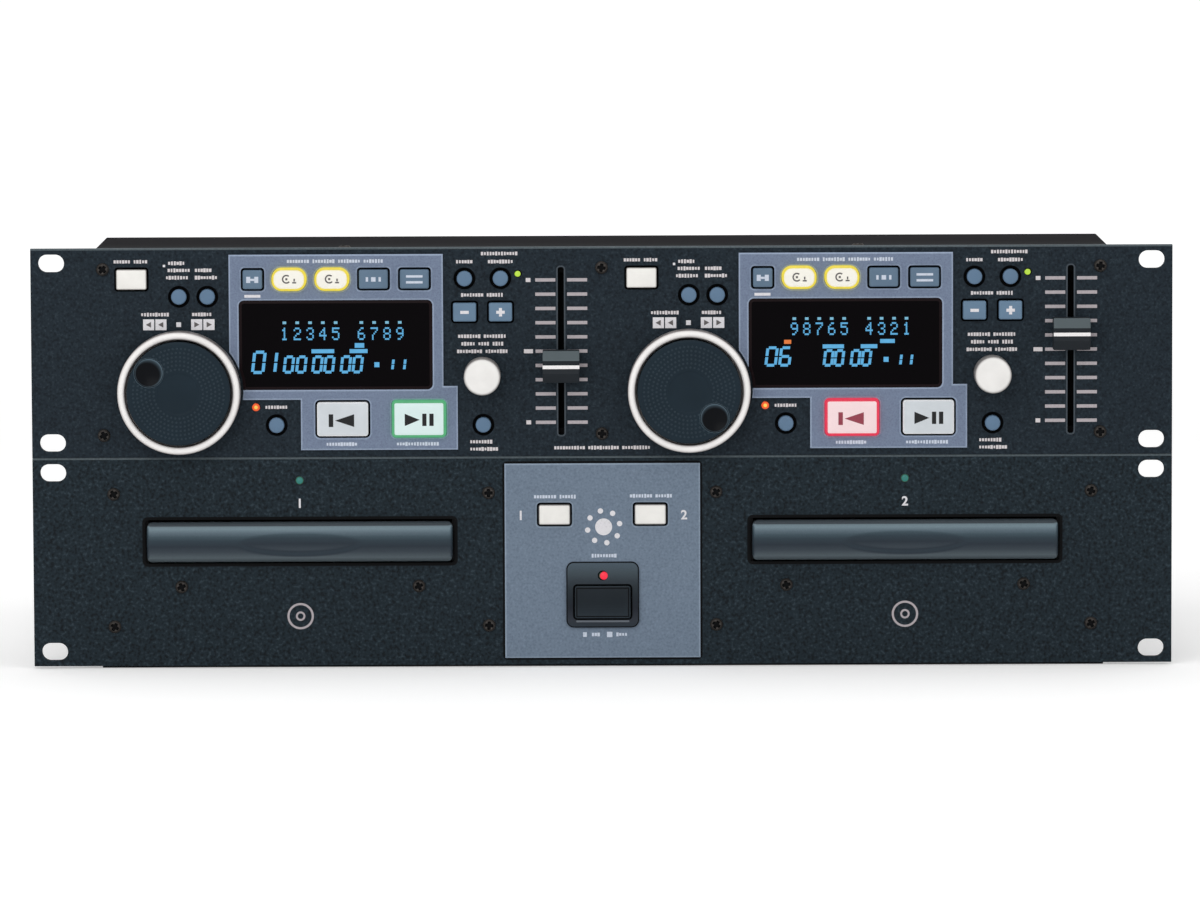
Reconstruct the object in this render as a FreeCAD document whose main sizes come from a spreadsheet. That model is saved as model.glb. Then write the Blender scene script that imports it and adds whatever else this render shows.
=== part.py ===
import FreeCAD, Part
import math
import os
import re
from collections import namedtuple

import Sketcher
from FreeCAD import Placement, Rotation, Vector

# A dual disc player for a nineteen-inch rack: a control unit with two decks above
# a drive unit with two disc trays.  X runs to the right, Y to the back, Z up.
# The origin is under the middle of the whole object, on the drive unit's bottom.
#
# Inside a sub-part, X is measured from the middle of the rack panel, Y from the
# panel's front face and Z from the panel's bottom edge.  "Ahead" is a distance in
# front of the panel's front face, so what lies behind the face has it negative.

SIZES = {
    # the two rack panels
    "panel_width": 482.6,
    "panel_height": 88.6,
    "panel_thick": 3.0,
    "unit_gap": 0.3,
    "rack_slot_spacing_x": 465.1,
    "rack_slot_spacing_z": 76.2,
    "rack_slot_length": 11.0,
    "rack_slot_width": 7.5,

    # casings of folded sheet
    "sheet_thick": 1.2,
    "drive_case_width": 425.0,
    "drive_depth": 250.0,
    "drive_case_drop": 1.0,
    "stack_gap": 0.5,
    "control_case_width": 428.0,
    "control_depth": 80.0,
    "control_top_gap": 0.4,
    "cover_flange": 9.0,
    "sheet_gap": 0.15,
    "lug_width": 11.0,
    "lug_margin": 3.0,
    "lug_height": 12.0,

    # screws
    "screw_r": 1.5,
    "screw_hole_gap": 0.15,
    "screw_length": 6.4,
    "screw_head_r": 2.9,
    "screw_head_high": 1.5,
    "control_screw_x": 210.8,
    "control_screw_low_z": 9.4,
    "control_screw_high_z": 79.8,
    "drive_screw_outer_x": 207.0,
    "drive_screw_inner_x": 48.2,
    "drive_screw_low_z": 16.8,
    "drive_screw_high_z": 73.3,
    "loader_screw_offset": 50.3,
    "loader_screw_z": 33.7,
    "top_screw_x": 108.7,
    "top_screw_y": 9.0,

    # decks: X of a deck's wheel, and X and Z of its controls from the wheel's X
    "deck_x": -178.6,
    "deck_pitch": 215.5,
    "wheel_z": 27.85,
    "open_key_x": -20.0,
    "open_key_z": 75.5,
    "time_key_x": 0.0,
    "title_key_x": 12.0,
    "time_key_z": 68.1,
    "memory_key_x": 31.2,
    "point_a_key_x": 46.6,
    "point_b_key_x": 64.7,
    "loop_key_x": 82.3,
    "exit_key_x": 99.6,
    "row_z": 75.4,
    "mode_key_x": 40.9,
    "mode_key_z": 13.5,
    "cue_key_x": 68.9,
    "play_key_x": 101.2,
    "play_key_z": 16.1,
    "tempo_key_x": 120.7,
    "bend_key_x": 135.9,
    "step_key_z": 61.2,
    "back_key_x": 128.4,
    "back_key_z": 13.35,
    "select_x": 128.1,
    "select_z": 34.5,
    "slider_x": 161.4,
    "slider_z": 44.5,
    "mode_lamp_x": 32.5,
    "mode_lamp_z": 21.35,
    "tempo_lamp_x": 143.45,
    "tempo_lamp_z": 77.4,

    # keys
    "open_cap_wide": 12.8,
    "open_cap_high": 8.5,
    "open_corner_r": 0.6,
    "square_cap_wide": 8.2,
    "square_cap_high": 8.0,
    "square_corner_r": 0.6,
    "oval_cap_wide": 13.3,
    "oval_cap_high": 8.3,
    "oval_corner_r": 3.6,
    "loop_cap_wide": 12.2,
    "loop_cap_high": 8.0,
    "loop_corner_r": 0.6,
    "step_cap_wide": 9.8,
    "step_cap_high": 7.9,
    "step_corner_r": 0.6,
    "play_cap_wide": 21.6,
    "play_cap_high": 14.4,
    "play_corner_r": 1.2,
    "tray_cap_wide": 13.2,
    "tray_cap_high": 8.4,
    "tray_corner_r": 0.6,
    "round_cap_r": 3.8,
    "cap_edge": 0.5,
    "key_proud": 2.2,
    "key_gap": 0.85,
    "key_lip": 0.8,
    "key_flange": 1.0,
    "key_play": 0.15,
    "key_travel": 0.5,
    "play_travel": 1.0,
    "stem_side": 3.0,
    "stem_depth": 6.0,
    "switch_side": 6.0,
    "switch_gap": 0.1,

    # raised plates and display windows
    "plate_proud": 1.2,
    "plate_left": 21.1,
    "plate_top_right": 111.6,
    "plate_low_left": 51.2,
    "plate_low_right": 117.6,
    "plate_low_z": 2.9,
    "plate_notch_z": 24.3,
    "plate_step_z": 29.9,
    "plate_top_z": 85.85,
    "plate_ring_gap": 0.6,
    "window_left": 25.3,
    "window_right": 107.0,
    "window_low_z": 28.6,
    "window_top_z": 66.4,
    "window_corner_r": 2.2,
    "window_gap": 0.1,
    "window_ledge": 1.6,
    "display_gap": 0.4,

    # wheel: the sprung ring and the disc inside it
    "ring_r": 26.3,
    "ring_wall": 3.3,
    "ring_proud": 10.8,
    "ring_web": 1.5,
    "ring_lift": 0.6,
    "ring_edge": 0.8,
    "hub_r": 12.0,
    "hub_hole_gap": 0.3,
    "bearing_gap": 0.05,
    "disc_gap": 0.4,
    "disc_lift": 0.6,
    "disc_proud": 12.0,
    "disc_wall": 1.8,
    "disc_edge": 0.7,
    "disc_boss_r": 6.0,
    "spindle_r": 3.0,
    "spindle_short": 3.0,
    "spindle_end_gap": 0.3,
    "dimple_r": 6.0,
    "dimple_deep": 1.2,
    "dimple_reach": 15.3,
    "disc_middle_r": 9.0,
    "disc_middle_step": 0.25,
    "first_dimple_angle": 144.0,
    "second_dimple_angle": -46.0,

    # select knob
    "select_r": 8.0,
    "select_proud": 14.0,
    "select_lift": 0.8,
    "select_edge": 0.9,
    "select_shaft_r": 2.5,
    "select_bush_wall": 1.0,
    "select_hole_gap": 0.3,
    "select_shaft_back": 9.0,

    # tempo slider
    "slider_travel": 60.4,
    "slider_rest_1": -6.0,
    "slider_rest_2": 7.0,
    "slider_slot_length": 71.3,
    "slider_slot_wide": 2.6,
    "slider_stem_gap": 0.3,
    "slider_stem_high": 5.0,
    "slider_cap_wide": 15.5,
    "slider_cap_high": 13.5,
    "slider_proud": 12.0,
    "slider_lift": 1.5,
    "slider_dip": 2.6,
    "slider_top_high": 5.4,
    "slider_track_wide": 9.0,
    "slider_track_front": 4.0,

    # control board
    "board_depth": 10.0,
    "board_thick": 1.6,
    "board_width": 404.0,
    "board_low_z": 5.0,
    "board_top_z": 81.5,
    "post_r": 2.5,
    "post_left_x": -21.0,
    "post_middle_x": 51.0,
    "post_right_x": 147.0,
    "post_low_z": 9.0,
    "post_high_z": 54.0,
    "encoder_side": 12.0,
    "encoder_depth": 4.0,
    "hub_end_gap": 0.3,
    "display_side_gap": 0.3,
    "lamp_r": 1.5,
    "lamp_gap": 0.1,
    "ear_wide": 12.0,
    "ear_deep": 11.0,
    "ear_thick": 3.5,

    # disc trays and their openings
    "tray_x": 128.2,
    "tray_z": 52.9,
    "tray_front_wide": 129.4,
    "tray_front_high": 16.9,
    "tray_front_proud": 5.0,
    "tray_front_back": 1.0,
    "tray_front_corner_r": 2.4,
    "tray_front_edge": 1.2,
    "tray_lens_wide": 64.0,
    "tray_lens_high": 10.0,
    "tray_lens_deep": 1.0,
    "tray_lens_drop": 0.9,
    "tray_opening_gap": 1.1,
    "tray_wide": 128.0,
    "tray_long": 165.0,
    "tray_thick": 6.0,
    "tray_low_z": 48.0,
    "disc_centre_y": 67.5,
    "disc_recess_r": 60.5,
    "disc_recess_deep": 1.6,
    "small_recess_r": 41.0,
    "small_recess_deep": 1.2,
    "tray_slot_wide": 36.0,
    "tray_slot_ahead": 20.0,
    "tray_slot_behind": 58.0,
    "tray_travel": 138.0,

    # rack and pinion that drive a tray
    "gear_module": 1.0,
    "gear_teeth": 18,
    "gear_backlash": 0.1,
    "pressure_angle": 20.0,
    "gear_thick": 3.0,
    "gear_y": 15.0,
    "gear_post_r": 2.0,
    "gear_tray_gap": 0.4,
    "gear_seat_gap": 0.1,
    "gear_seat_r": 5.0,
    "rack_line_x": -50.0,
    "rack_back_wide": 3.0,
    "rack_root_gap": 0.25,

    # loader frames
    "rail_gap": 0.3,
    "rail_wide": 3.0,
    "rail_thick": 1.8,
    "loader_wall": 2.5,
    "loader_floor_z": 12.0,
    "loader_floor_thick": 2.0,
    "loader_top_z": 64.0,
    "loader_long": 172.0,
    "loader_apron_z": 42.0,
    "bridge_wide": 26.0,
    "bridge_thick": 2.0,
    "clamp_r": 15.0,
    "clamp_gap": 4.5,
    "turntable_r": 15.0,
    "turntable_thick": 3.5,
    "turntable_drop": 0.6,
    "motor_r": 12.0,
    "pickup_long": 20.0,
    "pickup_wide": 24.0,
    "pickup_high": 12.0,
    "pickup_ahead": 24.0,
    "guide_r": 1.5,
    "guide_spread": 16.0,
    "guide_long": 56.0,
    "cradle_wide": 34.0,
    "cradle_thick": 4.0,
    "loading_motor_r": 9.0,
    "loading_motor_x": -16.0,
    "loading_motor_y": 20.0,
    "loading_motor_top_z": 36.0,
    "foot_post_r": 4.0,
    "foot_post_inset": 12.0,

    # centre plate, keys and power button of the drive unit
    "centre_plate_side": 82.8,
    "centre_plate_z": 44.3,
    "centre_plate_proud": 1.2,
    "tray_key_x": 20.3,
    "tray_key_z": 64.0,
    "bezel_wide": 30.8,
    "bezel_high": 28.0,
    "bezel_z": 29.9,
    "bezel_proud": 1.5,
    "bezel_corner_r": 3.2,
    "bezel_sleeve": 1.6,
    "bezel_back": 8.0,
    "power_wide": 23.5,
    "power_high": 13.6,
    "power_z": 26.8,
    "power_corner_r": 1.0,
    "power_gap": 0.35,
    "power_proud": 4.6,
    "power_back": 14.0,
    "power_travel": 3.5,
    "power_lamp_z": 38.1,
    "tray_lamp_z": 78.85,
    "tray_lamp_r": 1.7,

    # boards and connectors of the drive unit
    "main_board_z": 6.0,
    "main_board_wide": 392.0,
    "main_board_front": 180.0,
    "main_board_inset": 2.0,
    "middle_board_wide": 82.0,
    "front_board_top_z": 80.0,
    "board_post_inset": 8.0,
    "power_switch_wide": 20.0,
    "power_switch_long": 32.0,
    "power_board_gap": 1.0,
    "lamp_board_wide": 26.0,
    "lamp_board_high": 9.0,
    "lamp_post_spread": 18.0,
    "supply_wide": 56.0,
    "supply_front": 70.0,
    "supply_long": 74.0,
    "supply_high": 50.0,
    "jack_r": 4.2,
    "jack_pin_r": 1.7,
    "jack_reach": 9.0,
    "jack_block_wide": 26.0,
    "jack_block_deep": 12.0,
    "jack_block_high": 27.0,
    "jack_spread": 13.0,
    "jack_x": 110.0,
    "jack_low_z": 17.0,
    "socket_r": 7.0,
    "socket_core_r": 4.6,
    "socket_groove": 1.2,
    "socket_deep": 2.5,
    "socket_reach": 1.5,
    "socket_pitch": 24.0,
    "socket_z": 24.0,
    "inlet_x": -182.0,
    "inlet_z": 24.0,
    "inlet_wide": 30.0,
    "inlet_high": 23.0,
    "inlet_flange": 2.0,
    "inlet_flange_thick": 1.5,
    "inlet_wall": 2.0,
    "inlet_deep": 18.0,
    "inlet_pin_wide": 2.0,
    "inlet_pin_high": 4.0,
    "inlet_pin_short": 6.0,
    "inlet_pin_pitch": 7.0,
    "inlet_pin_rise": 4.0,
}

# Where the front face of the panels stands, and where each panel's bottom edge is.
FRONT_Y = "(select_proud - drive_depth - jack_reach)/2"
DRIVE_Z = "drive_case_drop"
UNIT_PITCH = "(panel_height + unit_gap)"
CONTROL_Z = f"drive_case_drop + {UNIT_PITCH}"
DECKS = {1: "deck_x", 2: "deck_x + deck_pitch"}
TRAYS = {1: "-tray_x", 2: "tray_x"}
BOTH_SIDES = ("-", "")

# Levels that several sub-parts share.
PANEL_BACK = "-panel_thick"
FLANGE_AHEAD = "-(panel_thick + key_play)"
BOARD_AHEAD = "-board_depth"
RING_BORE = "hub_r + bearing_gap"
RING_WEB_AHEAD = "ring_lift + ring_web"
DISC_R = "ring_r - ring_wall - disc_gap"
PLATE_ARC_R = "ring_r + plate_ring_gap"
PITCH_R = "gear_module*gear_teeth/2"
TRAY_TOP_Z = "tray_low_z + tray_thick"
GEAR_X = f"rack_line_x + {PITCH_R}"
GEAR_LOW_Z = "tray_low_z - gear_tray_gap - gear_thick"
FLOOR_Z = "sheet_thick - drive_case_drop"
COVER_Z = f"{UNIT_PITCH} - stack_gap - sheet_thick"
CASE_TOP_Z = "panel_height - control_top_gap"
CASE_ROOF_Z = "panel_height - control_top_gap - sheet_thick"
WINDOW_X = "(window_left + window_right)/2"
WINDOW_Z = "(window_low_z + window_top_z)/2"
DISPLAY_WIDE = "(window_right - window_left - 4*window_ledge)"
DISPLAY_HIGH = "(window_top_z - window_low_z - 2*window_ledge)"
LOADER_WIDE = "(tray_wide + 2*rail_gap + 2*loader_wall)"
LOADER_FLOOR_TOP_Z = "loader_floor_z + loader_floor_thick"
PARKED_Z = "tray_low_z - turntable_drop"
MAIN_BOARD_TOP_Z = "main_board_z + board_thick"
REAR_WALL_Y = "drive_depth - sheet_thick"
TOOTH_PITCH = "(3.14159265*gear_module)"
FLANK_STEPS = 4

# Each key of a deck: its form, place, the surface it stands in and its travel.
Key = namedtuple("Key", "form x z surface travel")
DECK_KEYS = {
    "open_key": Key("open", "open_key_x", "open_key_z", "panel", "key_travel"),
    "time_key": Key("round", "time_key_x", "time_key_z", "panel", "key_travel"),
    "title_key": Key("round", "title_key_x", "time_key_z", "panel", "key_travel"),
    "memory_key": Key("square", "memory_key_x", "row_z", "plate", "key_travel"),
    "point_a_key": Key("oval", "point_a_key_x", "row_z", "plate", "key_travel"),
    "point_b_key": Key("oval", "point_b_key_x", "row_z", "plate", "key_travel"),
    "loop_key": Key("loop", "loop_key_x", "row_z", "plate", "key_travel"),
    "exit_key": Key("loop", "exit_key_x", "row_z", "plate", "key_travel"),
    "mode_key": Key("round", "mode_key_x", "mode_key_z", "panel", "key_travel"),
    "cue_key": Key("play", "cue_key_x", "play_key_z", "plate", "play_travel"),
    "play_key": Key("play", "play_key_x", "play_key_z", "plate", "play_travel"),
    "tempo_key": Key("round", "tempo_key_x", "row_z", "panel", "key_travel"),
    "range_key": Key("round", "bend_key_x", "row_z", "panel", "key_travel"),
    "minus_key": Key("step", "tempo_key_x", "step_key_z", "panel", "key_travel"),
    "plus_key": Key("step", "bend_key_x", "step_key_z", "panel", "key_travel"),
    "back_key": Key("round", "back_key_x", "back_key_z", "panel", "key_travel"),
}

doc = FreeCAD.newDocument("disc_player")
sheet = doc.addObject("Spreadsheet::Sheet", "Sizes")
sub_parts = []


# --- sizes and expressions ---------------------------------------------------------

def fill_sheet():
    """Write each driving dimension into its own named cell."""
    for row, (name, size) in enumerate(SIZES.items(), start=1):
        sheet.set(f"A{row}", name)
        sheet.set(f"B{row}", str(size))
        sheet.setAlias(f"B{row}", name)
    doc.recompute()


def in_sheet(text):
    """Point each size name in an expression at its cell."""
    return re.sub(r"[a-z_][a-z0-9_]*",
                  lambda word: "Sizes." + word[0] if word[0] in SIZES else word[0], text)


def number(text):
    """Work an expression out with the sheet's values."""
    return float(sheet.evalExpression(text))


def tie(thing, name, text):
    """Bind a property to an expression of named sizes."""
    thing.setExpression(name, in_sheet(text))


def place(thing, x, y, z):
    """Bind the three coordinates of an object's place."""
    tie(thing, "Placement.Base.x", x)
    tie(thing, "Placement.Base.y", y)
    tie(thing, "Placement.Base.z", z)


# --- sketches ----------------------------------------------------------------------

def set_point(sketch, edge, end, x, z):
    """Hold one end, or the centre, of a sketch edge at x, z."""
    for kind, text in (("DistanceX", x), ("DistanceY", z)):
        index = sketch.addConstraint(
            Sketcher.Constraint(kind, -1, 1, edge, end, number(text)))
        tie(sketch, f"Constraints[{index}]", text)


def set_radius(sketch, edge, radius):
    """Hold the radius of a circle or an arc."""
    index = sketch.addConstraint(Sketcher.Constraint("Radius", edge, number(radius)))
    tie(sketch, f"Constraints[{index}]", radius)


def circle(sketch, x, z, radius):
    """Draw a circle about x, z."""
    middle = Vector(number(x), number(z), 0)
    edge = sketch.addGeometry(Part.Circle(middle, Vector(0, 0, 1), number(radius)), False)
    set_point(sketch, edge, 3, x, z)
    set_radius(sketch, edge, radius)


def arc_between(centre, start, end):
    """Return the short arc from start to end, and whether it runs the other way."""
    first = math.atan2(start.y - centre.y, start.x - centre.x)
    last = math.atan2(end.y - centre.y, end.x - centre.x)
    backwards = math.sin(last - first) < 0
    if backwards:
        first, last = last, first
    ring = Part.Circle(centre, Vector(0, 0, 1), start.distanceToPoint(centre))
    return Part.ArcOfCircle(ring, first, last), backwards


def outline(sketch, corners):
    """Draw a closed outline.

    A corner is (x, z), and a straight edge leaves it.  A corner with a centre and a
    radius after it, (x, z, centre_x, centre_z, radius), starts an arc instead.
    """
    points = [Vector(number(corner[0]), number(corner[1]), 0) for corner in corners]
    edges = []
    for index, corner in enumerate(corners):
        start = points[index]
        end = points[(index + 1) % len(points)]
        if len(corner) == 2:
            edge = sketch.addGeometry(Part.LineSegment(start, end), False)
            edges.append((edge, 1, 2))
        else:
            centre = Vector(number(corner[2]), number(corner[3]), 0)
            arc, backwards = arc_between(centre, start, end)
            edge = sketch.addGeometry(arc, False)
            edges.append((edge, 2, 1) if backwards else (edge, 1, 2))
    for (edge, begin, finish), (after, after_begin, _) in zip(edges, edges[1:] + edges[:1]):
        sketch.addConstraint(Sketcher.Constraint("Coincident", edge, finish, after, after_begin))
    for (edge, begin, _), corner in zip(edges, corners):
        set_point(sketch, edge, begin, corner[0], corner[1])
        if len(corner) > 2:
            set_radius(sketch, edge, corner[4])


def rectangle(sketch, x, z, wide, high):
    """Draw a rectangle about x, z."""
    left, right = f"({x}) - ({wide})/2", f"({x}) + ({wide})/2"
    low, top = f"({z}) - ({high})/2", f"({z}) + ({high})/2"
    outline(sketch, [(left, low), (right, low), (right, top), (left, top)])


def rounded_rectangle(sketch, x, z, wide, high, radius):
    """Draw a rectangle about x, z with rounded corners."""
    left, right = f"({x}) - ({wide})/2", f"({x}) + ({wide})/2"
    low, top = f"({z}) - ({high})/2", f"({z}) + ({high})/2"
    in_left, in_right = f"{left} + ({radius})", f"{right} - ({radius})"
    in_low, in_top = f"{low} + ({radius})", f"{top} - ({radius})"
    outline(sketch, [
        (in_left, low),
        (in_right, low, in_right, in_low, radius),
        (right, in_low),
        (right, in_top, in_right, in_top, radius),
        (in_right, top),
        (in_left, top, in_left, in_top, radius),
        (left, in_top),
        (left, in_low, in_left, in_low, radius),
    ])


def long_slot(sketch, x, z, long, wide):
    """Draw a slot with round ends, which lies along the sketch's first axis."""
    radius = f"({wide})/2"
    left, right = f"({x}) - ({long})/2 + {radius}", f"({x}) + ({long})/2 - {radius}"
    low, top = f"({z}) - {radius}", f"({z}) + {radius}"
    outline(sketch, [
        (left, low),
        (right, low, right, z, radius),
        (f"{right} + {radius}", z, right, z, radius),
        (right, top),
        (left, top, left, z, radius),
        (f"{left} - {radius}", z, left, z, radius),
    ])


def lens(sketch, z, wide, high):
    """Draw a lens of two flat arcs that meet at its ends, about a height z."""
    radius = f"(({wide})^2 + ({high})^2)/(4*({high}))"
    top_centre = f"({z}) + ({high})/2 - {radius}"
    low_centre = f"({z}) - ({high})/2 + {radius}"
    outline(sketch, [
        (f"-({wide})/2", z, "0", low_centre, radius),
        (f"({wide})/2", z, "0", top_centre, radius),
    ])


# --- bodies made of sketched features ----------------------------------------------

def new_body(label, x, y, z):
    """Start a sub-part as a body at its own place."""
    body = doc.addObject("PartDesign::Body", label)
    body.Label = label
    place(body, x, y, z)
    sub_parts.append(body)
    return body


def new_sketch(body, plane, offset):
    """Start a sketch at a distance from one of the body's own planes."""
    planes = {feature.Role: feature for feature in body.Origin.OriginFeatures}
    sketch = body.newObject("Sketcher::SketchObject", f"{body.Label}_sketch")
    sketch.AttachmentSupport = (planes[plane], [""])
    sketch.MapMode = "FlatFace"
    tie(sketch, "AttachmentOffset.Base.z", offset)
    return sketch


def add_feature(body, kind, sketch, length):
    """Pad or pocket a sketch over a length."""
    feature = body.newObject(f"PartDesign::{kind}", f"{body.Label}_{kind.lower()}")
    feature.Profile = sketch
    tie(feature, "Length", length)
    sketch.Visibility = False
    return feature


def front_pad(body, draw, back, ahead):
    """Pad what draw() sketches on upright planes, from one level ahead to another."""
    sketch = new_sketch(body, "XZ_Plane", back)
    draw(sketch)
    return add_feature(body, "Pad", sketch, f"({ahead}) - ({back})")


def front_pocket(body, draw, back, ahead):
    """Cut what draw() sketches on upright planes, from one level ahead to another."""
    sketch = new_sketch(body, "XZ_Plane", ahead)
    draw(sketch)
    return add_feature(body, "Pocket", sketch, f"({ahead}) - ({back})")


def level_pad(body, draw, low, top):
    """Pad what draw() sketches on level planes, from one height to another."""
    sketch = new_sketch(body, "XY_Plane", low)
    draw(sketch)
    return add_feature(body, "Pad", sketch, f"({top}) - ({low})")


def level_pocket(body, draw, low, top):
    """Cut what draw() sketches on level planes, from one height to another."""
    sketch = new_sketch(body, "XY_Plane", top)
    draw(sketch)
    return add_feature(body, "Pocket", sketch, f"({top}) - ({low})")


def revolve(body, corners):
    """Turn an outline of (radius, ahead) corners about the body's front-to-back axis."""
    sketch = new_sketch(body, "XY_Plane", "0")
    outline(sketch, [(radius, f"-({ahead})") for radius, ahead in corners])
    axes = {feature.Role: feature for feature in body.Origin.OriginFeatures}
    feature = body.newObject("PartDesign::Revolution", f"{body.Label}_turn")
    feature.Profile = sketch
    feature.ReferenceAxis = (axes["Y_Axis"], [""])
    sketch.Visibility = False
    return feature


def bevel_front(body, feature, size):
    """Bevel the edges of the feature's front face."""
    doc.recompute()
    faces = feature.Shape.Faces
    front = min(range(len(faces)), key=lambda index: faces[index].BoundBox.YMax)
    bevel = body.newObject("PartDesign::Chamfer", f"{body.Label}_bevel")
    bevel.Base = (feature, [f"Face{front + 1}"])
    tie(bevel, "Size", size)
    return bevel


# --- pieces made of boxes and cylinders --------------------------------------------

def block(x, y, z):
    """Make a box from its limits: x, y and z are (low, high) pairs."""
    box = doc.addObject("Part::Box", "block")
    for name, (low, high) in zip(("Length", "Width", "Height"), (x, y, z)):
        tie(box, name, f"({high}) - ({low})")
    place(box, x[0], y[0], z[0])
    return box


def upright(x, y, z, radius):
    """Make a cylinder that stands upright; z is a (low, high) pair."""
    rod = doc.addObject("Part::Cylinder", "upright")
    tie(rod, "Radius", radius)
    tie(rod, "Height", f"({z[1]}) - ({z[0]})")
    place(rod, x, y, z[0])
    return rod


def level_rod(x, y, z, radius):
    """Make a cylinder that lies from front to back; y is a (front, back) pair."""
    rod = doc.addObject("Part::Cylinder", "level_rod")
    tie(rod, "Radius", radius)
    tie(rod, "Height", f"({y[1]}) - ({y[0]})")
    rod.Placement = Placement(Vector(), Rotation(Vector(1, 0, 0), -90))
    place(rod, x, y[0], z)
    return rod


def about(middle, wide):
    """Return the (low, high) pair of a width about a middle."""
    return f"({middle}) - ({wide})/2", f"({middle}) + ({wide})/2"


def joined(pieces):
    """Fuse pieces into one shape, which may be several solids."""
    fuse = doc.addObject("Part::MultiFuse", "joined")
    fuse.Shapes = pieces
    fuse.Refine = True
    return fuse


def without(base, tools):
    """Cut tools out of a base."""
    cut = doc.addObject("Part::Cut", "without")
    cut.Base = base
    cut.Tool = tools[0] if len(tools) == 1 else joined(tools)
    cut.Refine = True
    return cut


def finish(thing, label, unit_z):
    """Name a sub-part and set it at the front of its unit."""
    thing.Label = label
    place(thing, "0", FRONT_Y, unit_z)
    sub_parts.append(thing)


# --- keys ----------------------------------------------------------------------------

def key_outline(sketch, form, x, z, grow):
    """Draw the outline of a key's cap, grown on every side, about x, z."""
    if form == "round":
        circle(sketch, x, z, f"round_cap_r + {grow}")
    else:
        rounded_rectangle(sketch, x, z, f"{form}_cap_wide + 2*{grow}",
                          f"{form}_cap_high + 2*{grow}", f"{form}_corner_r + {grow}")


def key_sides(form):
    """Return the width and height of a key's cap."""
    if form == "round":
        return "2*round_cap_r", "2*round_cap_r"
    return f"{form}_cap_wide", f"{form}_cap_high"


def key(label, form, x, z, surface):
    """Make a key: a cap, the flange that stops it and the stem that meets its switch."""
    body = new_body(label, x, FRONT_Y, z)
    wide, high = key_sides(form)
    flange_back = f"{FLANGE_AHEAD} - key_flange"
    grow = "2*(key_gap + key_lip)"
    front_pad(body, lambda sketch: rectangle(sketch, "0", "0", "stem_side", "stem_side"),
              "-stem_depth", flange_back)
    front_pad(body, lambda sketch: rectangle(sketch, "0", "0", f"{wide} + {grow}", f"{high} + {grow}"),
              flange_back, FLANGE_AHEAD)
    cap = front_pad(body, lambda sketch: key_outline(sketch, form, "0", "0", "0"),
                    FLANGE_AHEAD, f"{surface} + key_proud")
    bevel_front(body, cap, "cap_edge")


def deck_keys(deck):
    """Make the keys of one deck."""
    for name, spec in DECK_KEYS.items():
        surface = "plate_proud" if spec.surface == "plate" else "0"
        key(f"{name}_{deck}", spec.form, f"{DECKS[deck]} + {spec.x}",
            f"{CONTROL_Z} + {spec.z}", surface)


def tray_keys():
    """Make the two keys that open and close the trays."""
    for number_of_tray, side in zip((1, 2), BOTH_SIDES):
        key(f"tray_key_{number_of_tray}", "tray", f"{side}tray_key_x",
            f"{DRIVE_Z} + tray_key_z", "centre_plate_proud")


def power_button():
    """Make the push button of the mains switch, with its guide behind the bezel."""
    body = new_body("power_button", "0", FRONT_Y, f"{DRIVE_Z} + power_z")
    cap = front_pad(
        body,
        lambda sketch: rounded_rectangle(sketch, "0", "0", "power_wide", "power_high", "power_corner_r"),
        "-power_back", "power_proud")
    bevel_front(body, cap, "cap_edge")


# --- wheel, knob and slider ----------------------------------------------------------

def shuttle_ring(deck):
    """Make the sprung ring round a wheel: a wall on a web that turns on the hub."""
    body = new_body(f"shuttle_ring_{deck}", DECKS[deck], FRONT_Y, f"{CONTROL_Z} + wheel_z")
    revolve(body, [
        (RING_BORE, "ring_lift"),
        (RING_BORE, RING_WEB_AHEAD),
        ("ring_r - ring_wall", RING_WEB_AHEAD),
        ("ring_r - ring_wall", "ring_proud"),
        ("ring_r - ring_edge", "ring_proud"),
        ("ring_r", "ring_proud - ring_edge"),
        ("ring_r", "ring_lift"),
    ])


def jog_disc(deck, dimple_angle):
    """Make the disc inside the ring: a hollow cap on a boss, with a finger dimple."""
    body = new_body(f"jog_disc_{deck}", DECKS[deck], FRONT_Y, f"{CONTROL_Z} + wheel_z")
    low = f"{RING_WEB_AHEAD} + disc_lift"
    roof = "disc_proud - disc_wall"
    bore_end = "disc_proud - spindle_short + spindle_end_gap"
    revolve(body, [
        ("0", bore_end),
        ("spindle_r + bearing_gap", bore_end),
        ("spindle_r + bearing_gap", low),
        ("disc_boss_r", low),
        ("disc_boss_r", roof),
        (f"{DISC_R} - disc_wall", roof),
        (f"{DISC_R} - disc_wall", low),
        (DISC_R, low),
        (DISC_R, "disc_proud - disc_edge"),
        (f"{DISC_R} - disc_edge", "disc_proud"),
        ("disc_middle_r", "disc_proud"),
        ("disc_middle_r", "disc_proud - disc_middle_step"),
        ("0", "disc_proud - disc_middle_step"),
    ])
    doc.recompute()
    dimple_x = f"dimple_reach*cos({dimple_angle} * 1deg)"
    dimple_z = f"dimple_reach*sin({dimple_angle} * 1deg)"
    front_pocket(body, lambda sketch: circle(sketch, dimple_x, dimple_z, "dimple_r"),
                 "disc_proud - dimple_deep", "disc_proud")


def select_knob(deck):
    """Make the select knob with its own shaft."""
    body = new_body(f"select_knob_{deck}", f"{DECKS[deck]} + select_x", FRONT_Y,
                    f"{CONTROL_Z} + select_z")
    revolve(body, [
        ("0", "-select_shaft_back"),
        ("select_shaft_r", "-select_shaft_back"),
        ("select_shaft_r", "select_lift"),
        ("select_r", "select_lift"),
        ("select_r", "select_proud - select_edge"),
        ("select_r - select_edge", "select_proud"),
        ("0", "select_proud"),
    ])


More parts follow.
